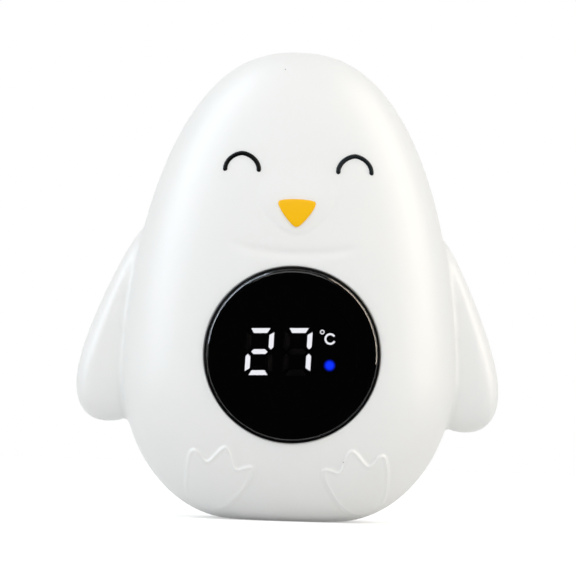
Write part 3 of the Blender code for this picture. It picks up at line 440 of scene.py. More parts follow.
def round_hole(faces, radius, back):
    """Takes out the faces inside a radius round the core's axis, and returns the edge that is left."""
    gone = [
        face for face in faces
        if (face.calc_center_median().y > 0) == back and min(from_axis(v.co) for v in face.verts) < radius
    ]
    around = {edge for face in gone for edge in face.edges}
    bmesh.ops.delete(bm, geom=gone, context="FACES")
    return [edge for edge in around if edge.is_valid and edge.is_boundary]


def drawn_ring(edge, radius, sunk=0.0, seat=None):
    """Grows a ring of faces from an edge loop to a new radius, on the skin, sunk in it, or at a seat's Y."""
    grown = bmesh.ops.extrude_edge_only(bm, edges=edge)["geom"]
    for vert in [part for part in grown if isinstance(part, bmesh.types.BMVert)]:
        x, z = (Vector((vert.co.x, vert.co.z)) - AXIS).normalized() * radius + AXIS
        if seat is not None:
            y = seat
        elif vert.co.y > 0:
            y = body_skin(x, z, back=True) - sunk
        else:
            y = face_skin(x, z) + sunk
        vert.co = (x, y, z)
    return [part for part in grown if isinstance(part, bmesh.types.BMEdge) and part.is_boundary]


inner = bmesh.new()
body_form(inner, segments=96, rings=60, inset=WALL)
bmesh.ops.reverse_faces(inner, faces=inner.faces)
hollow = bpy.data.meshes.new("hollow")
inner.to_mesh(hollow)
inner.free()
outer_count = len(bm.faces)
bm.from_mesh(hollow)
bpy.data.meshes.remove(hollow)
bm.faces.ensure_lookup_table()
inner_faces = bm.faces[outer_count:]
outer_faces = bm.faces[:outer_count]
for back, opening, seat, reach in (
    (False, FRONT_OPENING, FRONT_SEAT, FRONT_REACH), (True, REAR_OPENING, REAR_SEAT, REAR_REACH)
):
    inner_edge = round_hole([f for f in inner_faces if f.is_valid], reach + HOLLOW_MARGIN, back)
    edge = round_hole([f for f in outer_faces if f.is_valid], opening + LIP_MARGIN, back)
    edge = drawn_ring(edge, opening + 2 * LIP_ROUND)
    edge = drawn_ring(edge, opening + LIP_ROUND)
    for step in range(1, LIP_STEPS + 1):
        turn = math.pi / 2 * step / LIP_STEPS
        edge = drawn_ring(edge, opening + LIP_ROUND * (1 - math.sin(turn)), LIP_ROUND * (1 - math.cos(turn)))
    edge = drawn_ring(edge, opening, seat=seat)
    edge = drawn_ring(edge, reach, seat=seat)
    bmesh.ops.bridge_loops(bm, edges=edge + inner_edge)
bmesh.ops.recalc_face_normals(bm, faces=bm.faces)


def new_finish(name, hex_colour, roughness, **more):
    """A Principled material with its plain values set."""
    material = bpy.data.materials.new(name)
    material.use_nodes = True
    shader = material.node_tree.nodes["Principled BSDF"]
    shader.inputs["Base Color"].default_value = linear(hex_colour)
    shader.inputs["Roughness"].default_value = roughness
    for socket, value in more.items():
        shader.inputs[socket.replace("_", " ")].default_value = value
    return material


def grained(material, grain, height, patch=5 * MM, change=0.03):
    """Adds grain as wide and high as given, and patches where the gloss changes a little.

    Each grain is drawn coarser than the real one, which is too fine to show.
    """
    tree = material.node_tree
    shader = tree.nodes["Principled BSDF"]
    place = add_node(tree, "TexCoord").outputs["Object"]
    grains = add_node(tree, "TexNoise", {"Vector": place, "Scale": 1 / grain, "Detail": 2.0}).outputs["Fac"]
    bump = add_node(tree, "Bump", {"Height": grains, "Distance": height, "Strength": 1.0})
    tree.links.new(bump.outputs["Normal"], shader.inputs["Normal"])
    patches = add_node(tree, "TexNoise", {"Vector": place, "Scale": 1 / patch, "Detail": 1.0}).outputs["Fac"]
    middle = shader.inputs["Roughness"].default_value
    ends = {"Value": patches, "To Min": middle - change, "To Max": middle + change}
    tree.links.new(add_node(tree, "MapRange", ends).outputs["Result"], shader.inputs["Roughness"])
    return material


# Liquid silicone from a sand-blasted mould: a soft, even white with a satin skin, and light goes in a little.
# The mould's real grain is near 0.05 mm and wouldn't show, so it is drawn at 0.35 mm. Two specks of dirt
# stick to the skin, one on the crown and one on a foot.
SILICONE_GRAIN = 0.35 * MM
SILICONE_GRAIN_HEIGHT = 0.003 * MM
TINT_SCALE = 60.0
SPECK_CORE = 0.4
SPECK_STRENGTH = 0.75
SPECKS = [(Vector((-2.9, 89.75)) * MM, 0.16 * MM), (Vector((10.9, 12.3)) * MM, 0.14 * MM)]
silicone = new_finish(
    "moulded_white_silicone", "#F4F5F4", 0.48, IOR=1.41, Subsurface_Weight=0.2,
    Subsurface_Radius=(1.0, 0.9, 0.85), Subsurface_Scale=1.5 * MM,
)
grained(silicone, SILICONE_GRAIN, SILICONE_GRAIN_HEIGHT)
tree = silicone.node_tree
place = add_node(tree, "TexCoord").outputs["Object"]
patches = add_node(tree, "TexNoise", {"Vector": place, "Scale": TINT_SCALE, "Detail": 2.0}).outputs["Fac"]
colour = add_node(
    tree, "Mix", {"Factor": patches, "A": linear("#F3F5F4"), "B": linear("#F6F6F4")}, data_type="RGBA"
).outputs["Result"]
flat = add_node(tree, "VectorMath", {0: place, 1: (1.0, 0.0, 1.0)}, operation="MULTIPLY").outputs["Vector"]
front = add_node(tree, "SeparateXYZ", {"Vector": place}).outputs["Y"]
front = add_node(tree, "Math", {0: front, 1: 0.0}, operation="LESS_THAN").outputs[0]
for (x, z), radius in SPECKS:
    away = add_node(tree, "VectorMath", {0: flat, 1: (x, 0.0, z)}, operation="DISTANCE").outputs["Value"]
    speck = add_node(
        tree, "MapRange",
        {
            "Value": away, "From Min": SPECK_CORE * radius, "From Max": radius,
            "To Min": SPECK_STRENGTH, "To Max": 0.0,
        },
    ).outputs["Result"]
    speck = add_node(tree, "Math", {0: speck, 1: front}, operation="MULTIPLY").outputs[0]
    colour = add_node(
        tree, "Mix", {"Factor": speck, "A": colour, "B": linear("#7A776F")}, data_type="RGBA"
    ).outputs["Result"]
tree.links.new(colour, tree.nodes["Principled BSDF"].inputs["Base Color"])
boot = new_piece("boot_skin", bm, silicone, smooth=False)
boot.data.shade_smooth()
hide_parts("silicone_body")


# Eyes: two closed, smiling arcs of dark silicone, sunk halfway into the face. They are satin, with hardly any
# shine. The eye on the penguin's left is coloured a lighter, bluer black than the other, a painted sheen for
# the grey highlight it catches.
EYE_PLACES = {1: Vector((11.3, 69.55)) * MM, -1: Vector((-11.0, 69.45)) * MM}
EYE_RADII = Vector((3.3, 3.2)) * MM
EYE_POINT = 1.2
EYE_STROKE = 0.96 * MM
EYE_SINK = 0.12 * MM
EYE_POINTS = 48
# The left eye's lighter #141C20 is painted sheen; the right eye's #020303 is the plain dark silicone.
for side, word, tone_and_sheen in ((1, "left", "#141C20"), (-1, "right", "#020303")):
    line = bpy.data.curves.new("eye_line", "CURVE")
    line.dimensions = "3D"
    line.bevel_depth = EYE_STROKE / 2
    line.bevel_resolution = 4
    line.use_fill_caps = True
    spline = line.splines.new("POLY")
    spline.points.add(EYE_POINTS)
    end = EYE_STROKE / 2 / EYE_RADII.x
    for number, point in enumerate(spline.points):
        turn = (math.pi + 2 * end) * (1 - math.cos(math.pi * number / EYE_POINTS)) / 2 - end
        across = math.copysign(abs(math.cos(turn)) ** EYE_POINT, math.cos(turn))
        x, z = EYE_PLACES[side] + Vector((EYE_RADII.x * across, EYE_RADII.y * math.sin(turn)))
        point.co = (x, body_skin(x, z) + EYE_SINK, z, 1.0)
        beyond = max(-turn, turn - math.pi, 0.0) / end
        point.radius = max(0.02, math.sqrt(max(0.0, 1 - beyond * beyond)))
    rough = bpy.data.objects.new("rough_eye", line)
    bpy.context.scene.collection.objects.link(rough)
    made = bpy.data.meshes.new_from_object(rough.evaluated_get(bpy.context.evaluated_depsgraph_get()))
    bpy.data.objects.remove(rough)
    bpy.data.curves.remove(line)
    bm = bmesh.new()
    bm.from_mesh(made)
    bpy.data.meshes.remove(made)
    bmesh.ops.remove_doubles(bm, verts=bm.verts, dist=0.001 * MM)
    bmesh.ops.recalc_face_normals(bm, faces=bm.faces)
    rubber = new_finish(f"dark_silicone_and_painted_sheen_{word}", tone_and_sheen, 0.5, Specular_IOR_Level=0.1)
    grained(rubber, SILICONE_GRAIN, SILICONE_GRAIN_HEIGHT)
    eye = new_piece(f"eye_inlay_{word}", bm, rubber, smooth=False)
    eye.data.shade_smooth()
    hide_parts(f"{word}_eye")


# Beak: a plug of yellow silicone sunk into the muzzle, a little domed and rounded at its rim.
# Its colour goes right through it, so it is an even, satin yellow.
BEAK_CORNERS = [
    (-3.95, 63.3), (-2.9, 63.75), (0.0, 63.95), (2.9, 63.75), (3.95, 63.3),
    (3.05, 61.4), (1.4, 59.3), (0.0, 58.1), (-1.4, 59.3), (-3.05, 61.4),
]
BEAK_MIDDLE = Vector((0.0, 62.0)) * MM
BEAK_DEPTH = 1.2 * MM
BEAK_RINGS = [
    (1.0, -0.05), (1.0, 0.15), (0.985, 0.28), (0.95, 0.38), (0.85, 0.44), (0.6, 0.48), (0.3, 0.5), (0.08, 0.5)
]
beak_curve = rounder([Vector(corner) * MM for corner in BEAK_CORNERS], 3)
bm = bmesh.new()
verts = [bm.verts.new((p.x, face_skin(p.x, p.y) + BEAK_DEPTH, p.y)) for p in beak_curve]
edge = bm.faces.new(verts).edges[:]
for share, rise in BEAK_RINGS:
    grown = bmesh.ops.extrude_edge_only(bm, edges=edge)["geom"]
    ring = [part for part in grown if isinstance(part, bmesh.types.BMVert)]
    edge = [part for part in grown if isinstance(part, bmesh.types.BMEdge) and part.is_boundary]
    for vert, point in zip(ring, beak_curve):
        flat = BEAK_MIDDLE + (point - BEAK_MIDDLE) * share
        vert.co = (flat.x, face_skin(flat.x, flat.y) - rise * MM, flat.y)
bmesh.ops.holes_fill(bm, edges=edge, sides=0)
bmesh.ops.recalc_face_normals(bm, faces=bm.faces)
yellow = new_finish("moulded_yellow_silicone", "#FFC300", 0.55, IOR=1.41, Specular_IOR_Level=0.2)
grained(yellow, SILICONE_GRAIN, SILICONE_GRAIN_HEIGHT)
beak = new_piece("beak_plug", bm, yellow, smooth=False)
beak.data.shade_smooth()
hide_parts("beak")


# Display window: a disc of smoked clear acrylic, cast and polished, whose rounded rim catches the lamps.
# It is stuck to the housing's ledge by a ring of dull black foam tape.
LENS_EDGE = 1.0 * MM
LENS_RADIUS = 17.0 * MM


def turned_form(profile, steps=96, x=0.0, z=CORE_HEIGHT):
    """A profile of (radius, y) points turned round a line along Y. It ends on that line, or is closed."""
    bm = bmesh.new()
    points = [bm.verts.new((x + radius, y, z)) for radius, y in profile]
    pairs = list(zip(points, points[1:]))
    if profile[0][0] > SHORT:
        pairs.append((points[-1], points[0]))
    edges = [bm.edges.new(pair) for pair in pairs]
    bmesh.ops.spin(
        bm, geom=points + edges, cent=(x, 0.0, z), axis=(0.0, 1.0, 0.0), angle=2 * math.pi,
        steps=steps, use_merge=True,
    )
    bmesh.ops.remove_doubles(bm, verts=bm.verts, dist=SHORT / 10)
    bmesh.ops.recalc_face_normals(bm, faces=bm.faces)
    return bm


def quarter(centre, radius, start, steps=6):
    """Points (radius, y) of a quarter turn round a centre, from an angle in degrees onward."""
    turns = [math.radians(start + 90 * step / steps) for step in range(steps + 1)]
    return [(centre[0] + radius * math.cos(turn), centre[1] + radius * math.sin(turn)) for turn in turns]


lens_low, lens_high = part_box("display_lens")
rim_middle = (LENS_RADIUS - LENS_EDGE, lens_low.y + LENS_EDGE)
flat_radius = LENS_RADIUS - 1.05 * LENS_EDGE
lens_profile = [
    (0.0, lens_high.y), (flat_radius, lens_high.y), (LENS_RADIUS, lens_high.y),
    *reversed(quarter(rim_middle, LENS_EDGE, -90, 12)), (flat_radius, lens_low.y), (0.0, lens_low.y),
]
acrylic = new_finish("smoked_cast_acrylic", "#5F5F62", 0.015, IOR=1.49, Transmission_Weight=1.0)
lens = new_piece("display_window", turned_form(lens_profile, 128), acrylic)
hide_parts("display_lens")


def paint(material, *names):
    """Gives CAD nodes that stay as they are a better material."""
    for name in names:
        nodes[name].material_slots[0].material = material


paint(grained(new_finish("closed_cell_foam_tape", "#141414", 0.9), 0.12 * MM, 0.02 * MM), "lens_tape")


# Front housing: the black front half of the sealed core, moulded in ABS, which is satin and takes soft
# highlights. Its rim is the thin collar round the window, and its flange holds the boot's lip.
RIM_RADIUS = 17.43 * MM
RIM_FRONT = -22.3 * MM
RIM_WALL = 0.4 * MM
RIM_ROUND = 0.2 * MM
LEDGE_FRONT = -20.2 * MM
LEDGE_BACK = -18.7 * MM
HOUSING_FLANGE = -17.3 * MM
FLANGE_RADIUS = 20.0 * MM
FRONT_TAPER = -12.0 * MM
CORE_RADIUS = 23.0 * MM
CORE_WALL = 2.2 * MM
SPLIT = 0.6 * MM
WINDOW_RADIUS = 13.0 * MM
THROAT = 17.25 * MM
GAP = 0.3 * MM
SCREW_CIRCLE = 16.4 * MM
SCREW_ANGLES = [20.0, 160.0, 222.0, 318.0]
SCREW_PLACES = [
    (SCREW_CIRCLE * math.cos(math.radians(a)), CORE_HEIGHT + SCREW_CIRCLE * math.sin(math.radians(a)))
    for a in SCREW_ANGLES
]
SHANK_HOLE = 1.1 * MM
SHANK_HOLE_FRONT = -6.6 * MM
FRONT_COLUMN = 2.4 * MM
BOARD_POSTS = [CORE_HEIGHT + 16.6 * MM, CORE_HEIGHT - 16.6 * MM]
BOARD_FRONT = -12.2 * MM


def combined(form, changes):
    """The form with others joined to it or cut from it, in order. Each change is an operation and a form."""
    things = []
    for bm in [form, *[change[1] for change in changes]]:
        mesh = bpy.data.meshes.new("form")
        bm.to_mesh(mesh)
        bm.free()
        things.append(bpy.data.objects.new("form", mesh))
        bpy.context.scene.collection.objects.link(things[-1])
    for (operation, _), tool in zip(changes, things[1:]):
        modifier = things[0].modifiers.new(operation, "BOOLEAN")
        modifier.operation = operation
        modifier.solver = "EXACT"
        modifier.object = tool
    bpy.context.view_layer.update()
    made = bpy.data.meshes.new_from_object(things[0].evaluated_get(bpy.context.evaluated_depsgraph_get()))
    for thing in things:
        bpy.data.objects.remove(thing)
    bm = bmesh.new()
    bm.from_mesh(made)
    bpy.data.meshes.remove(made)
    bmesh.ops.remove_doubles(bm, verts=bm.verts, dist=SHORT / 100)
    return bm


def rod_form(radius, front, back, x=0.0, z=CORE_HEIGHT, steps=48, flare=0.0):
    """A round bar along Y, which may widen at its back end as a chamfered hole does."""
    profile = [(0.0, back), (radius + flare, back), (radius, back - flare), (radius, front), (0.0, front)]
    if not flare:
        profile.pop(2)
    bm = turned_form(profile, steps, x, z)
    middles = [v for v in bm.verts if abs(v.co.x - x) < SHORT and abs(v.co.z - z) < SHORT]
    bmesh.ops.dissolve_verts(bm, verts=middles)
    return bm


rim_inside = RIM_RADIUS - RIM_WALL
core_inside = CORE_RADIUS - CORE_WALL
collar_profile = [
    (CORE_RADIUS, -SPLIT), (CORE_RADIUS, FRONT_TAPER), (FLANGE_RADIUS, HOUSING_FLANGE),
    (RIM_RADIUS, HOUSING_FLANGE),
    *reversed(quarter((RIM_RADIUS - RIM_ROUND, RIM_FRONT + RIM_ROUND), RIM_ROUND, -90)),
    (rim_inside, RIM_FRONT), (rim_inside, LEDGE_FRONT), (WINDOW_RADIUS, LEDGE_FRONT),
    (WINDOW_RADIUS, LEDGE_BACK), (THROAT - GAP, LEDGE_BACK), (THROAT, HOUSING_FLANGE + CORE_WALL),
    (core_inside, FRONT_TAPER + CORE_WALL / 2), (core_inside, -SPLIT),
]
changes = []
for x, z in SCREW_PLACES:
    changes.append(("UNION", rod_form(FRONT_COLUMN, HOUSING_FLANGE + GAP, -SPLIT, x, z)))
for z in BOARD_POSTS:
    changes.append(("UNION", rod_form(FRONT_COLUMN, HOUSING_FLANGE + GAP, BOARD_FRONT - GAP, z=z)))
for x, z in SCREW_PLACES:
    changes.append(("DIFFERENCE", rod_form(SHANK_HOLE, SHANK_HOLE_FRONT, SPLIT, x, z)))
for z in BOARD_POSTS:
    changes.append(("DIFFERENCE", rod_form(SHANK_HOLE, HOUSING_FLANGE + 3 * GAP, BOARD_FRONT, z=z)))
black_abs = grained(
    new_finish("moulded_black_abs", "#060607", 0.35, Specular_IOR_Level=0.25), 0.15 * MM, 0.002 * MM
)
collar = new_piece("front_shell", combined(turned_form(collar_profile, 128), changes), black_abs)
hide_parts("front_housing")


# Display: a black reflector block whose windows are filled with milky epoxy over small lamps. The lit bars
# glow white, the status dot glows blue, and the unlit bars stay a faint brown behind the smoked window.
DISPLAY_TURN = math.radians(1.95)
DIGIT_WIDTH = 5.4 * MM
DIGIT_HEIGHT = 9.26 * MM
DIGIT_STROKE = 0.96 * MM
DIGIT_SLANT = math.tan(math.radians(3.6))
DIGIT_CENTRES = [Vector((-6.35, 0.6)) * MM, Vector((1.2, 0.6)) * MM]
OUTER_CUT = 0.8 * MM
INNER_CUT = 0.4 * MM
MIDDLE_REACH = 1.65 * MM
BAR_CORNER = 0.1 * MM
LIT_BARS = [("middle", "top", "top_right", "bottom", "bottom_left"), ("top", "top_right", "bottom_right")]
DEGREE_CENTRE = Vector((6.05, 4.45)) * MM
DEGREE_RADIUS = 0.46 * MM
DEGREE_STROKE = 0.2 * MM
LETTER_CENTRE = Vector((7.62, 3.08)) * MM
LETTER_RADIUS = 1.14 * MM
LETTER_STROKE = 0.38 * MM
LETTER_OPENING = (32, 334)
STATUS_CENTRE = Vector((7.5, -2.15)) * MM
STATUS_RADIUS = 1.3 * MM
STATUS_CORE = 0.35 * MM
WHITE_STRENGTH = 8.0
BLUE_STRENGTH = 12.0

half_width, half_height = DIGIT_WIDTH / 2, DIGIT_HEIGHT / 2
half_stroke = DIGIT_STROKE / 2
end_bar = [
    (OUTER_CUT - half_width, half_height), (half_width - OUTER_CUT, half_height),
    (half_width - DIGIT_STROKE - INNER_CUT, half_height - DIGIT_STROKE),
    (DIGIT_STROKE + INNER_CUT - half_width, half_height - DIGIT_STROKE),
]
side_bar = [
    (half_width, half_height - OUTER_CUT), (half_width, half_stroke + INNER_CUT),
    (half_width - half_stroke, INNER_CUT), (half_width - DIGIT_STROKE, half_stroke + INNER_CUT),
    (half_width - DIGIT_STROKE, half_height - DIGIT_STROKE - INNER_CUT),
]
middle_bar = [
    (-MIDDLE_REACH, 0.0), (half_stroke - MIDDLE_REACH, half_stroke),
    (MIDDLE_REACH - half_stroke, half_stroke), (MIDDLE_REACH, 0.0),
    (MIDDLE_REACH - half_stroke, -half_stroke), (half_stroke - MIDDLE_REACH, -half_stroke),
]
bars = {"middle": middle_bar}
for up, height in ((1, "top"), (-1, "bottom")):
    bars[height] = [(x, up * z) for x, z in end_bar]
    for side, word in ((1, "right"), (-1, "left")):
        bars[f"{height}_{word}"] = [(side * x, up * z) for x, z in side_bar]


def round_points(centre, radius, start, end, steps):
    turns = [math.radians(start + (end - start) * step / steps) for step in range(steps + 1)]
    return [centre + radius * Vector((math.cos(turn), math.sin(turn))) for turn in turns]


epoxy_low, epoxy_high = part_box("segment_epoxy")
reflector_low, reflector_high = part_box("reflector_block")
UNLIT, WHITE, BLUE = 0, 1, 2
SLAB_THICKNESS = 0.8 * MM
slab_front = reflector_high.y - SLAB_THICKNESS
turn = Matrix.Rotation(DISPLAY_TURN, 2)
bm = bmesh.new()


def add_window(outline, glow):
    """Adds one flat window of the display at the slab, turned with the display. Returns its corners."""
    placed = [turn @ point + AXIS for point in outline]
    face = bm.faces.new([bm.verts.new((point.x, slab_front, point.y)) for point in placed])
    face.material_index = glow
    return face.verts[:]


corners = []
for centre, lit in zip(DIGIT_CENTRES, LIT_BARS):
    for name, bar in bars.items():
        outline = [Vector((x + z * DIGIT_SLANT, z)) + centre for x, z in bar]
        corners += add_window(outline, WHITE if name in lit else UNLIT)
bmesh.ops.bevel(
    bm, geom=corners, offset=BAR_CORNER, segments=3, affect="VERTICES", profile=0.5, material=-1
)
letter = round_points(LETTER_CENTRE, LETTER_RADIUS, *LETTER_OPENING, 40)
letter += reversed(round_points(LETTER_CENTRE, LETTER_RADIUS - LETTER_STROKE, *LETTER_OPENING, 40))
add_window(letter, WHITE)
add_window(round_points(STATUS_CENTRE, STATUS_RADIUS, 0, 360, 48)[:-1], BLUE)
drawn = bmesh.ops.extrude_face_region(bm, geom=bm.faces[:])["geom"]
moved = [part for part in drawn if isinstance(part, bmesh.types.BMVert)]
bmesh.ops.translate(bm, verts=moved, vec=(0.0, reflector_low.y - slab_front, 0.0))
degree = turn @ DEGREE_CENTRE + AXIS
ring = [
    bm.verts.new((degree.x + radius, y, degree.y))
    for radius, y in (
        (DEGREE_RADIUS, slab_front), (DEGREE_RADIUS, reflector_low.y),
        (DEGREE_RADIUS - DEGREE_STROKE, reflector_low.y), (DEGREE_RADIUS - DEGREE_STROKE, slab_front),
    )
]
section = [bm.edges.new(pair) for pair in zip(ring, ring[1:] + ring[:1])]
bmesh.ops.spin(
    bm, geom=ring + section, cent=(degree.x, 0.0, degree.y), axis=(0.0, 1.0, 0.0), angle=2 * math.pi,
    steps=40, use_merge=True,
)
for face in bm.faces:
    middle = face.calc_center_median()
    if (Vector((middle.x, middle.z)) - degree).length < 1.2 * DEGREE_RADIUS:
        face.material_index = WHITE
    if middle.y > reflector_low.y + SHORT:
        face.material_index = UNLIT
slab_size = (epoxy_high.x - epoxy_low.x, SLAB_THICKNESS, epoxy_high.z - epoxy_low.z)
slab_middle = Matrix.Translation((0.0, slab_front + SLAB_THICKNESS / 2, CORE_HEIGHT))
bmesh.ops.create_cube(bm, size=1.0, matrix=slab_middle @ Matrix.Diagonal((*slab_size, 1.0)))
bmesh.ops.recalc_face_normals(bm, faces=bm.faces)

unlit = grained(new_finish("cast_milky_epoxy", "#B5A79A", 0.4), 0.1 * MM, 0.002 * MM)
white_glow = new_finish(
    "white_lit_epoxy", "#FFFFFF", 0.4, Emission_Color=(1.0, 1.0, 1.0, 1.0),
    Emission_Strength=WHITE_STRENGTH,
)
blue_glow = new_finish("blue_lit_epoxy", "#1020FF", 0.4, Emission_Color=linear("#0C30FF"))
status = turn @ STATUS_CENTRE + AXIS
tree = blue_glow.node_tree
place = add_node(tree, "TexCoord").outputs["Object"]
flat = add_node(tree, "VectorMath", {0: place, 1: (1.0, 0.0, 1.0)}, operation="MULTIPLY").outputs["Vector"]
away = add_node(
    tree, "VectorMath", {0: flat, 1: (status.x, 0.0, status.y)}, operation="DISTANCE"
).outputs["Value"]
fade = add_node(
    tree, "MapRange",
    {
        "Value": away, "From Min": STATUS_CORE, "From Max": STATUS_RADIUS,
        "To Min": BLUE_STRENGTH, "To Max": 0.0,
    },
    interpolation_type="SMOOTHSTEP",
).outputs["Result"]
tree.links.new(fade, tree.nodes["Principled BSDF"].inputs["Emission Strength"])
casting = new_piece("display_casting", bm, unlit)
casting.data.materials.append(white_glow)
casting.data.materials.append(blue_glow)
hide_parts("segment_epoxy")
paint(black_abs, "reflector_block")


# Display board: a round circuit board on the back of the display, and on it the controller chip. Solder
# mask gives the board a satin green skin with lighter tracks, and the chip's moulded package is dull black.
TRACK_LENGTH = 2.4 * MM
TRACK_SPACING = 0.6 * MM
TRACK_WIDTH = 0.14 * MM
board = new_finish("solder_mask_on_glass_laminate", "#0F5C2E", 0.35)
grained(board, 0.4 * MM, 0.01 * MM)
tree = board.node_tree
place = add_node(tree, "TexCoord").outputs["Object"]
upright = add_node(tree, "Mapping", {"Vector": place, "Rotation": (math.radians(90), 0.0, 0.0)})
tracks = add_node(
    tree, "TexBrick",
    {
        "Vector": upright.outputs["Vector"], "Scale": 1.0, "Brick Width": TRACK_LENGTH,
        "Row Height": TRACK_SPACING, "Mortar Size": TRACK_WIDTH / 2, "Color1": linear("#0F5C2E"),
        "Color2": linear("#0D532A"), "Mortar": linear("#2F8A4C"),
    },
)
tree.links.new(tracks.outputs["Color"], tree.nodes["Principled BSDF"].inputs["Base Color"])
paint(board, "display_board")
paint(grained(new_finish("moulded_epoxy_package", "#1B1B1C", 0.6), 0.08 * MM, 0.004 * MM), "controller_chip")


# Rear housing: the white back half of the core, moulded in ABS with a fine, dull spark-eroded skin. It has
# the battery bay, four screw wells and the holes for the probe and the two water contacts. The gasket between
# the two halves is moulded nitrile rubber, dull and grey.
REAR_FACE = 18.9 * MM
REAR_INSIDE = 16.9 * MM
REAR_ROUND = 0.4 * MM
NECK_RADIUS = 20.0 * MM
NECK_STEP = 14.6 * MM
SHOULDER_RADIUS = 21.6 * MM
BACK_TAPER = 13.2 * MM
TUB_RADIUS = 13.3 * MM
BAY_RADIUS = 10.5 * MM
BAY_FLOOR = 9.0 * MM
BAY_WALL = 1.0 * MM
BAY_MIDDLE = CORE_HEIGHT + 6.4 * MM
DOOR_SEAT = 16.2 * MM
DOOR_RADIUS = 11.8 * MM
DOOR_TAB = 3.2 * MM
DOOR_TAB_DROP = 16.8 * MM
DOOR_SCREW_HEIGHT = CORE_HEIGHT - 7.2 * MM
WELL_RADIUS = 2.0 * MM
WELL_WALL = 1.3 * MM
WELL_FLOOR = 4.3 * MM
HOLE_EDGE = 0.3 * MM
PROBE_HEIGHT = CORE_HEIGHT - 14.0 * MM
PROBE_HOLE = 2.9 * MM
CONTACT_SPREAD = 7.4 * MM
CONTACT_HEIGHT = CORE_HEIGHT - 13.4 * MM
CONTACT_HOLE = 0.9 * MM
CLIP_SLOT = (-10.55 * MM, 1.6 * MM, 3.6 * MM)


def door_form(margin, front, back, edge=0.0):
    """A disc with a square tab below it, whose back edge may be rounded."""
    radius, half = DOOR_RADIUS + margin, DOOR_TAB + margin
    side = math.degrees(math.asin(half / radius))
    outline = round_points(Vector((0.0, BAY_MIDDLE)), radius, side - 90, 270 - side, 72)
    outline += [Vector((x, BAY_MIDDLE - DOOR_TAB_DROP - margin)) for x in (-half, half)]
    bm = bmesh.new()
    face = bm.faces.new([bm.verts.new((point.x, front, point.y)) for point in outline])
    drawn = bmesh.ops.extrude_face_region(bm, geom=[face])["geom"]
    moved = [part for part in drawn if isinstance(part, bmesh.types.BMVert)]
    bmesh.ops.translate(bm, verts=moved, vec=(0.0, back - front, 0.0))
    bmesh.ops.recalc_face_normals(bm, faces=bm.faces)
    if edge:
        rim = [e for e in bm.edges if all(v in moved for v in e.verts)]
        bmesh.ops.bevel(bm, geom=rim, offset=edge, segments=3, affect="EDGES", profile=0.5, material=-1)
    return bm


def box_form(middle, size):
    bm = bmesh.new()
    bmesh.ops.create_cube(bm, size=1.0, matrix=Matrix.Translation(middle) @ Matrix.Diagonal((*size, 1.0)))
    return bm


neck_inside = NECK_RADIUS - CORE_WALL
rear_profile = [
    (0.0, REAR_FACE), *reversed(quarter((NECK_RADIUS - REAR_ROUND, REAR_FACE - REAR_ROUND), REAR_ROUND, 0)),
    (NECK_RADIUS, NECK_STEP), (SHOULDER_RADIUS, NECK_STEP), (CORE_RADIUS, BACK_TAPER), (CORE_RADIUS, SPLIT),
    (core_inside, SPLIT), (core_inside, BACK_TAPER - CORE_WALL / 2), (neck_inside, NECK_STEP - CORE_WALL / 2),
    (neck_inside, REAR_INSIDE), (0.0, REAR_INSIDE),
]
beyond = REAR_FACE + HOLE_EDGE / 3
clip_x, clip_room, clip_width = CLIP_SLOT
changes = [
    ("UNION", rod_form(TUB_RADIUS, BAY_FLOOR - BAY_WALL, REAR_INSIDE + GAP, z=BAY_MIDDLE, steps=96)),
    ("UNION", rod_form(FRONT_COLUMN, BAY_FLOOR, REAR_INSIDE + GAP, z=DOOR_SCREW_HEIGHT)),
]
for x, z in SCREW_PLACES:
    changes.append(("UNION", rod_form(WELL_RADIUS + WELL_WALL, SPLIT, REAR_INSIDE + GAP, x, z)))
for x, z in SCREW_PLACES:
    changes.append(("DIFFERENCE", rod_form(WELL_RADIUS, WELL_FLOOR, beyond, x, z, flare=HOLE_EDGE)))
    changes.append(("DIFFERENCE", rod_form(SHANK_HOLE, 0.0, WELL_FLOOR + GAP, x, z)))
changes += [
    ("DIFFERENCE", door_form(GAP, DOOR_SEAT, REAR_FACE + GAP)),
    ("DIFFERENCE", rod_form(BAY_RADIUS, BAY_FLOOR, REAR_FACE + GAP, z=BAY_MIDDLE, steps=96)),
    ("DIFFERENCE", rod_form(SHANK_HOLE, BAY_FLOOR + 4 * GAP, REAR_FACE, z=DOOR_SCREW_HEIGHT)),
    ("DIFFERENCE", rod_form(CONTACT_HOLE, 0.0, BAY_FLOOR + GAP, z=BAY_MIDDLE)),
    ("DIFFERENCE", box_form((clip_x, DOOR_SEAT / 2 + GAP, BAY_MIDDLE), (clip_room, DOOR_SEAT, clip_width))),
    ("DIFFERENCE", rod_form(PROBE_HOLE, 0.0, beyond, z=PROBE_HEIGHT, flare=HOLE_EDGE)),
]
for x in (-CONTACT_SPREAD, CONTACT_SPREAD):
    changes.append(("DIFFERENCE", rod_form(CONTACT_HOLE, 0.0, REAR_FACE + GAP, x, CONTACT_HEIGHT)))
white_abs = grained(new_finish("spark_eroded_white_abs", "#EAEAE6", 0.42), 0.12 * MM, 0.006 * MM)
back_half = new_piece("rear_shell", combined(turned_form(rear_profile, 128), changes), white_abs)
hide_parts("rear_housing")
nitrile = grained(new_finish("moulded_grey_nitrile", "#55575A", 0.75), 0.2 * MM, 0.01 * MM)
paint(nitrile, "housing_gasket")


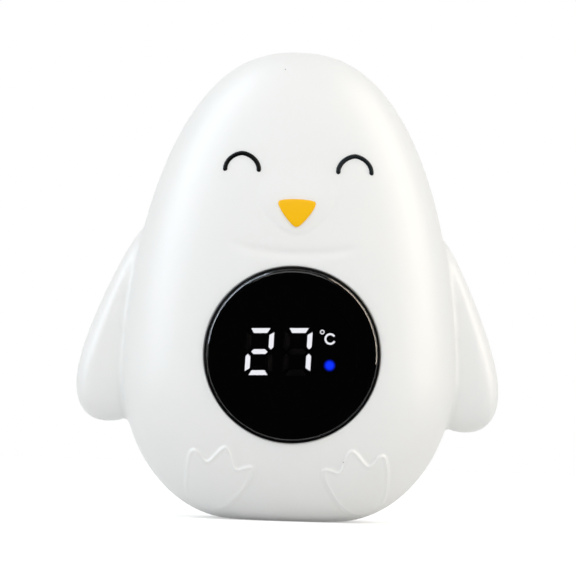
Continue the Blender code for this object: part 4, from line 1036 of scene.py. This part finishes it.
# Battery: two coin cells in cans of nickel-plated steel, bright and a little warm, stacked on a sprung strip,
# with a second strip against their side. A white door with a rubber gasket closes the bay.
DOOR_FRONT = 17.4 * MM
DOOR_EDGE = 0.3 * MM
PAD_RADIUS = 7.0 * MM
SINK_RADIUS = 2.0 * MM
SINK_FLOOR = 17.9 * MM
nickel = grained(
    new_finish("nickel_plated_steel", "#D3CDC2", 0.26, Metallic=1.0), 0.25 * MM, 0.003 * MM, change=0.06
)
paint(nickel, "front_cell", "rear_cell", "negative_spring", "positive_clip")
paint(nitrile, "door_gasket")
cell_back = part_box("rear_cell")[1].y
changes = [
    ("UNION", rod_form(PAD_RADIUS, cell_back + GAP / 2, DOOR_FRONT + GAP, z=BAY_MIDDLE)),
    ("DIFFERENCE", rod_form(SINK_RADIUS, SINK_FLOOR, beyond, z=DOOR_SCREW_HEIGHT, flare=HOLE_EDGE)),
    ("DIFFERENCE", rod_form(SHANK_HOLE, DOOR_FRONT - GAP, REAR_FACE, z=DOOR_SCREW_HEIGHT)),
]
door = new_piece("bay_door", combined(door_form(0.0, DOOR_FRONT, REAR_FACE, DOOR_EDGE), changes), white_abs)
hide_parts("battery_door")


# Screws: seven pan heads of stainless steel, cold headed with a cross recess, with a rolled thread. The steel
# is a cool grey with a soft shine.
HEAD_RADIUS = 1.7 * MM
HEAD_HEIGHT = 1.4 * MM
HEAD_ROUND = 0.6 * MM
THREAD_RADIUS = 0.8 * MM
THREAD_CORE = 0.58 * MM
THREAD_PITCH = 0.5 * MM
RECESS_LENGTH = 1.9 * MM
RECESS_WIDTH = 0.42 * MM
RECESS_DEPTH = 0.8 * MM
RECESS_TAPER = 0.45
HEAD_TURN = 23
THREAD_STEP = 1.02
stainless = new_finish("cold_formed_stainless_steel", "#BDBCB9", 0.24, Metallic=1.0)
grained(stainless, 0.15 * MM, 0.004 * MM, change=0.07)
screws = ["door_screw", "board_screw_top", "board_screw_bottom"]
screws += [f"housing_screw_{number}" for number in range(1, 5)]
for number, name in enumerate(screws):
    low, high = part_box(name)
    x, z = (low.x + high.x) / 2, (low.z + high.z) / 2
    top, seat = high.y, high.y - HEAD_HEIGHT
    profile = [
        (0.0, top), *reversed(quarter((HEAD_RADIUS - HEAD_ROUND, top - HEAD_ROUND), HEAD_ROUND, 0)),
        (HEAD_RADIUS, seat), (THREAD_CORE, seat),
    ]
    y = seat - THREAD_PITCH / 2
    while y > low.y + 2 * THREAD_PITCH:
        profile += [(THREAD_CORE, y), (THREAD_RADIUS, y - THREAD_PITCH / 2), (THREAD_CORE, y - THREAD_PITCH)]
        y -= THREAD_PITCH * THREAD_STEP
    profile += [(THREAD_CORE, y - THREAD_PITCH / 4), (0.0, low.y)]
    changes = []
    for quarter_turn in (0, 90):
        slot = box_form((0.0, 0.0, 0.0), (RECESS_LENGTH, 2 * RECESS_DEPTH, RECESS_WIDTH))
        for vert in slot.verts:
            if vert.co.y < 0:
                vert.co.x *= RECESS_TAPER
        angle = math.radians(quarter_turn + HEAD_TURN * number)
        spot = Matrix.Translation((x, top, z)) @ Matrix.Rotation(angle, 4, "Y")
        bmesh.ops.transform(slot, matrix=spot, verts=slot.verts)
        changes.append(("DIFFERENCE", slot))
    screw_form = combined(turned_form(profile, 32, x, z), changes)
    piece = new_piece(name.replace("screw", "pan_screw"), screw_form, stainless)
    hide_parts(name)


# Probe and water contacts: a drawn cap of stainless steel over the temperature bead, sealed by a rubber ring,
# and two turned pins that switch the display on in water. Thin wires in satin PVC run from them to the board,
# and the bead is coated in shiny brown glass.
CAP_RADIUS = 2.6 * MM
CAP_ROUND = 0.7 * MM
CAP_WALL = 0.4 * MM
CAP_FLANGE_RADIUS = 3.4 * MM
CAP_FLANGE_BACK = 15.7 * MM
PIN_RADIUS = 1.2 * MM
PIN_SHANK = 0.6 * MM
PIN_ROUND = 0.18 * MM
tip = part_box("probe_cap")[1].y
cap_round = reversed(quarter((CAP_RADIUS - CAP_ROUND, tip - CAP_ROUND), CAP_ROUND, 0))
cap_profile = [
    (0.0, tip), *cap_round, (CAP_RADIUS, CAP_FLANGE_BACK), (CAP_FLANGE_RADIUS, CAP_FLANGE_BACK),
    (CAP_FLANGE_RADIUS, CAP_FLANGE_BACK - CAP_WALL), (CAP_RADIUS - CAP_WALL, CAP_FLANGE_BACK - CAP_WALL),
    (CAP_RADIUS - CAP_WALL, tip - CAP_ROUND - CAP_WALL), (0.0, tip - CAP_ROUND),
]
cap = new_piece("sensor_cap", turned_form(cap_profile, 64, z=PROBE_HEIGHT), stainless)
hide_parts("probe_cap")
for side, word in ((1, "left"), (-1, "right")):
    low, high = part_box(f"water_contact_{word}")
    under = REAR_FACE + GAP
    pin_profile = [
        (0.0, high.y), *reversed(quarter((PIN_RADIUS - PIN_ROUND, high.y - PIN_ROUND), PIN_ROUND, 0)),
        (PIN_RADIUS, under), (PIN_SHANK, under), (PIN_SHANK, low.y), (0.0, low.y),
    ]
    pin_form = turned_form(pin_profile, 48, side * CONTACT_SPREAD, CONTACT_HEIGHT)
    pin = new_piece(f"water_pin_{word}", pin_form, stainless)
    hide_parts(f"water_contact_{word}")
paint(nitrile, "probe_seal")
bead = new_finish("glass_coated_bead", "#7A3B22", 0.12, IOR=1.5, Coat_Weight=0.6)
paint(grained(bead, 0.3 * MM, 0.002 * MM), "thermistor")
black_pvc = grained(new_finish("extruded_black_pvc", "#161616", 0.45), 0.1 * MM, 0.003 * MM)
paint(
    black_pvc, "probe_lead_left", "probe_lead_right", "contact_wire_left", "contact_wire_right",
    "battery_wire_black",
)
paint(grained(new_finish("extruded_red_pvc", "#A5161A", 0.45), 0.1 * MM, 0.003 * MM), "battery_wire_red")
